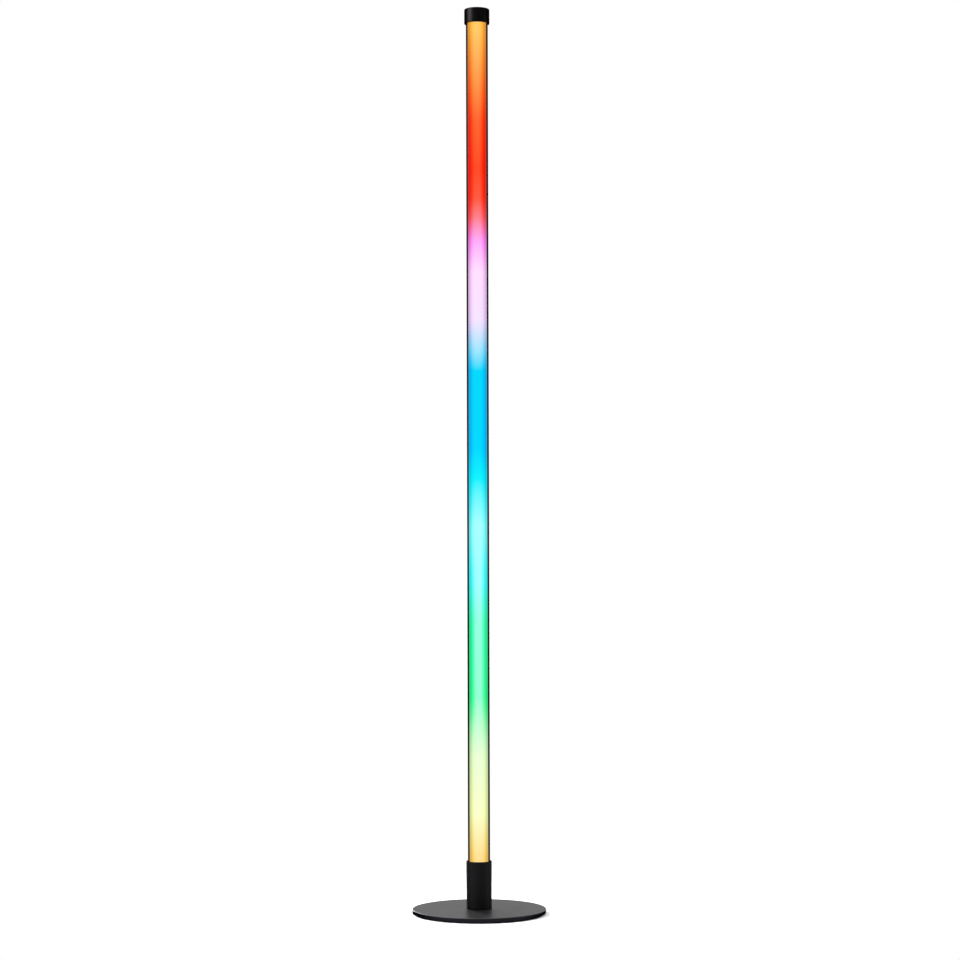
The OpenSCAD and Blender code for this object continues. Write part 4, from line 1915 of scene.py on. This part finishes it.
@dataclass
class Studio:
    """A plain white floor, a soft even light and the camera.

    Lengths are in metres and the camera's angles in degrees. The ambient light is a share of white.
    """

    floor_radius: float = 40.0
    floor_tone: str = "#f4f4f4"
    fade: Span = (0.12, 0.55)
    ambient: float = 0.55
    lens: float = 90.0
    distance: float = 3.6
    farthest: float = 200.0
    camera_height: float = 0.540
    pitch: float = 1.27
    roll: float = -0.155
    side_step: float = 2.9 * MM
    shift: float = 0.02

    boxes: tuple[SoftBox, ...] = (
        SoftBox("key_left", (-2.7, -1.0, 2.1), (0, 0, 1.3), 1.7, 1.5, 260.0),
        SoftBox("fill_right", (3.1, -0.3, 0.8), (0, 0, 0.5), 1.0, 1.4, 30.0),
        SoftBox("back_left", (-1.5, 2.9, 1.3), (0, 0, 0.9), 0.5, 2.4, 130.0),
        SoftBox("back_right", (2.4, 1.9, 1.2), (0, 0, 0.8), 0.4, 2.2, 60.0),
        SoftBox("overhead", (0.0, 0.2, 3.2), (0, 0, 0), 1.4, 1.4, 20.0),
    )

    def camera(self) -> None:
        """Puts the camera where the photograph was taken from."""
        data = bpy.data.cameras.new("camera")
        data.lens = self.lens
        data.shift_y = self.shift
        data.clip_end = self.farthest
        made = bpy.data.objects.new("camera", data)
        look = Matrix.Rotation(math.radians(90 + self.pitch), 4, "X")
        turn = Matrix.Rotation(math.radians(self.roll), 4, "Z")
        place = Matrix.Translation((self.side_step, -self.distance, self.camera_height))
        made.matrix_world = place @ look @ turn
        bpy.context.scene.collection.objects.link(made)
        bpy.context.scene.camera = made

    def floor(self) -> None:
        """A round floor that keeps the lamp's shadow and fades to white away from it."""
        bm = bmesh.new()
        bmesh.ops.create_circle(bm, cap_ends=True, radius=self.floor_radius, segments=96)
        made = to_object("floor", bm)
        coat = bpy.data.materials.new("floor_paint")
        coat.use_nodes = True
        graph = Graph(coat.node_tree)
        lit = graph.add("ShaderNodeBsdfDiffuse", None, {"Color": srgb(self.floor_tone)})
        white = graph.add("ShaderNodeEmission", None, {"Color": (1, 1, 1, 1), "Strength": 1.0})
        away = graph.radius().rising(*self.fade) * self.seen(graph)
        shader = graph.add("ShaderNodeMixShader", None, {0: away, 1: lit, 2: white})
        graph.node("ShaderNodeOutputMaterial", None, {"Surface": shader})
        made.data.materials.append(coat)

    @staticmethod
    def seen(graph: Graph) -> Expr:
        """Is 1 for what the camera sees, also in a mirror or through glass, and 0 for what lights the room.

        Args:
            graph: the node tree of the floor's paint or of the surround.

        Returns:
            The number, 0 or 1.
        """
        straight, mirrored, through = (
            graph.add("ShaderNodeLightPath", None, None, f"Is {kind} Ray")
            for kind in ("Camera", "Glossy", "Transmission")
        )
        return straight.or_more(mirrored).or_more(through)

    def sky(self) -> None:
        """A white surround that lights the lamp softly."""
        world = bpy.data.worlds.new("studio")
        world.use_nodes = True
        bpy.context.scene.world = world
        graph = Graph(world.node_tree)
        strength = self.ambient + self.seen(graph) * (1 - self.ambient)
        light = graph.add("ShaderNodeBackground", None, {"Color": (1, 1, 1, 1), "Strength": strength})
        graph.node("ShaderNodeOutputWorld", None, {"Surface": light})

    def build(self) -> None:
        """Makes the whole studio."""
        self.camera()
        self.floor()
        self.sky()
        for box in self.boxes:
            box.build()
        bpy.context.scene.view_settings.view_transform = "Standard"


def main() -> None:
    """Builds the lamp's pieces around the frame, then the studio."""
    logging.basicConfig(level=logging.INFO, format="%(name)s: %(message)s")
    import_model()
    Studio().build()
    for part in (DiscBase(), FootSleeve(), Pole(), LightEngine(), SetScrews(), TopCap(), Controls()):
        part.build()


if __name__ == "__main__":
    main()
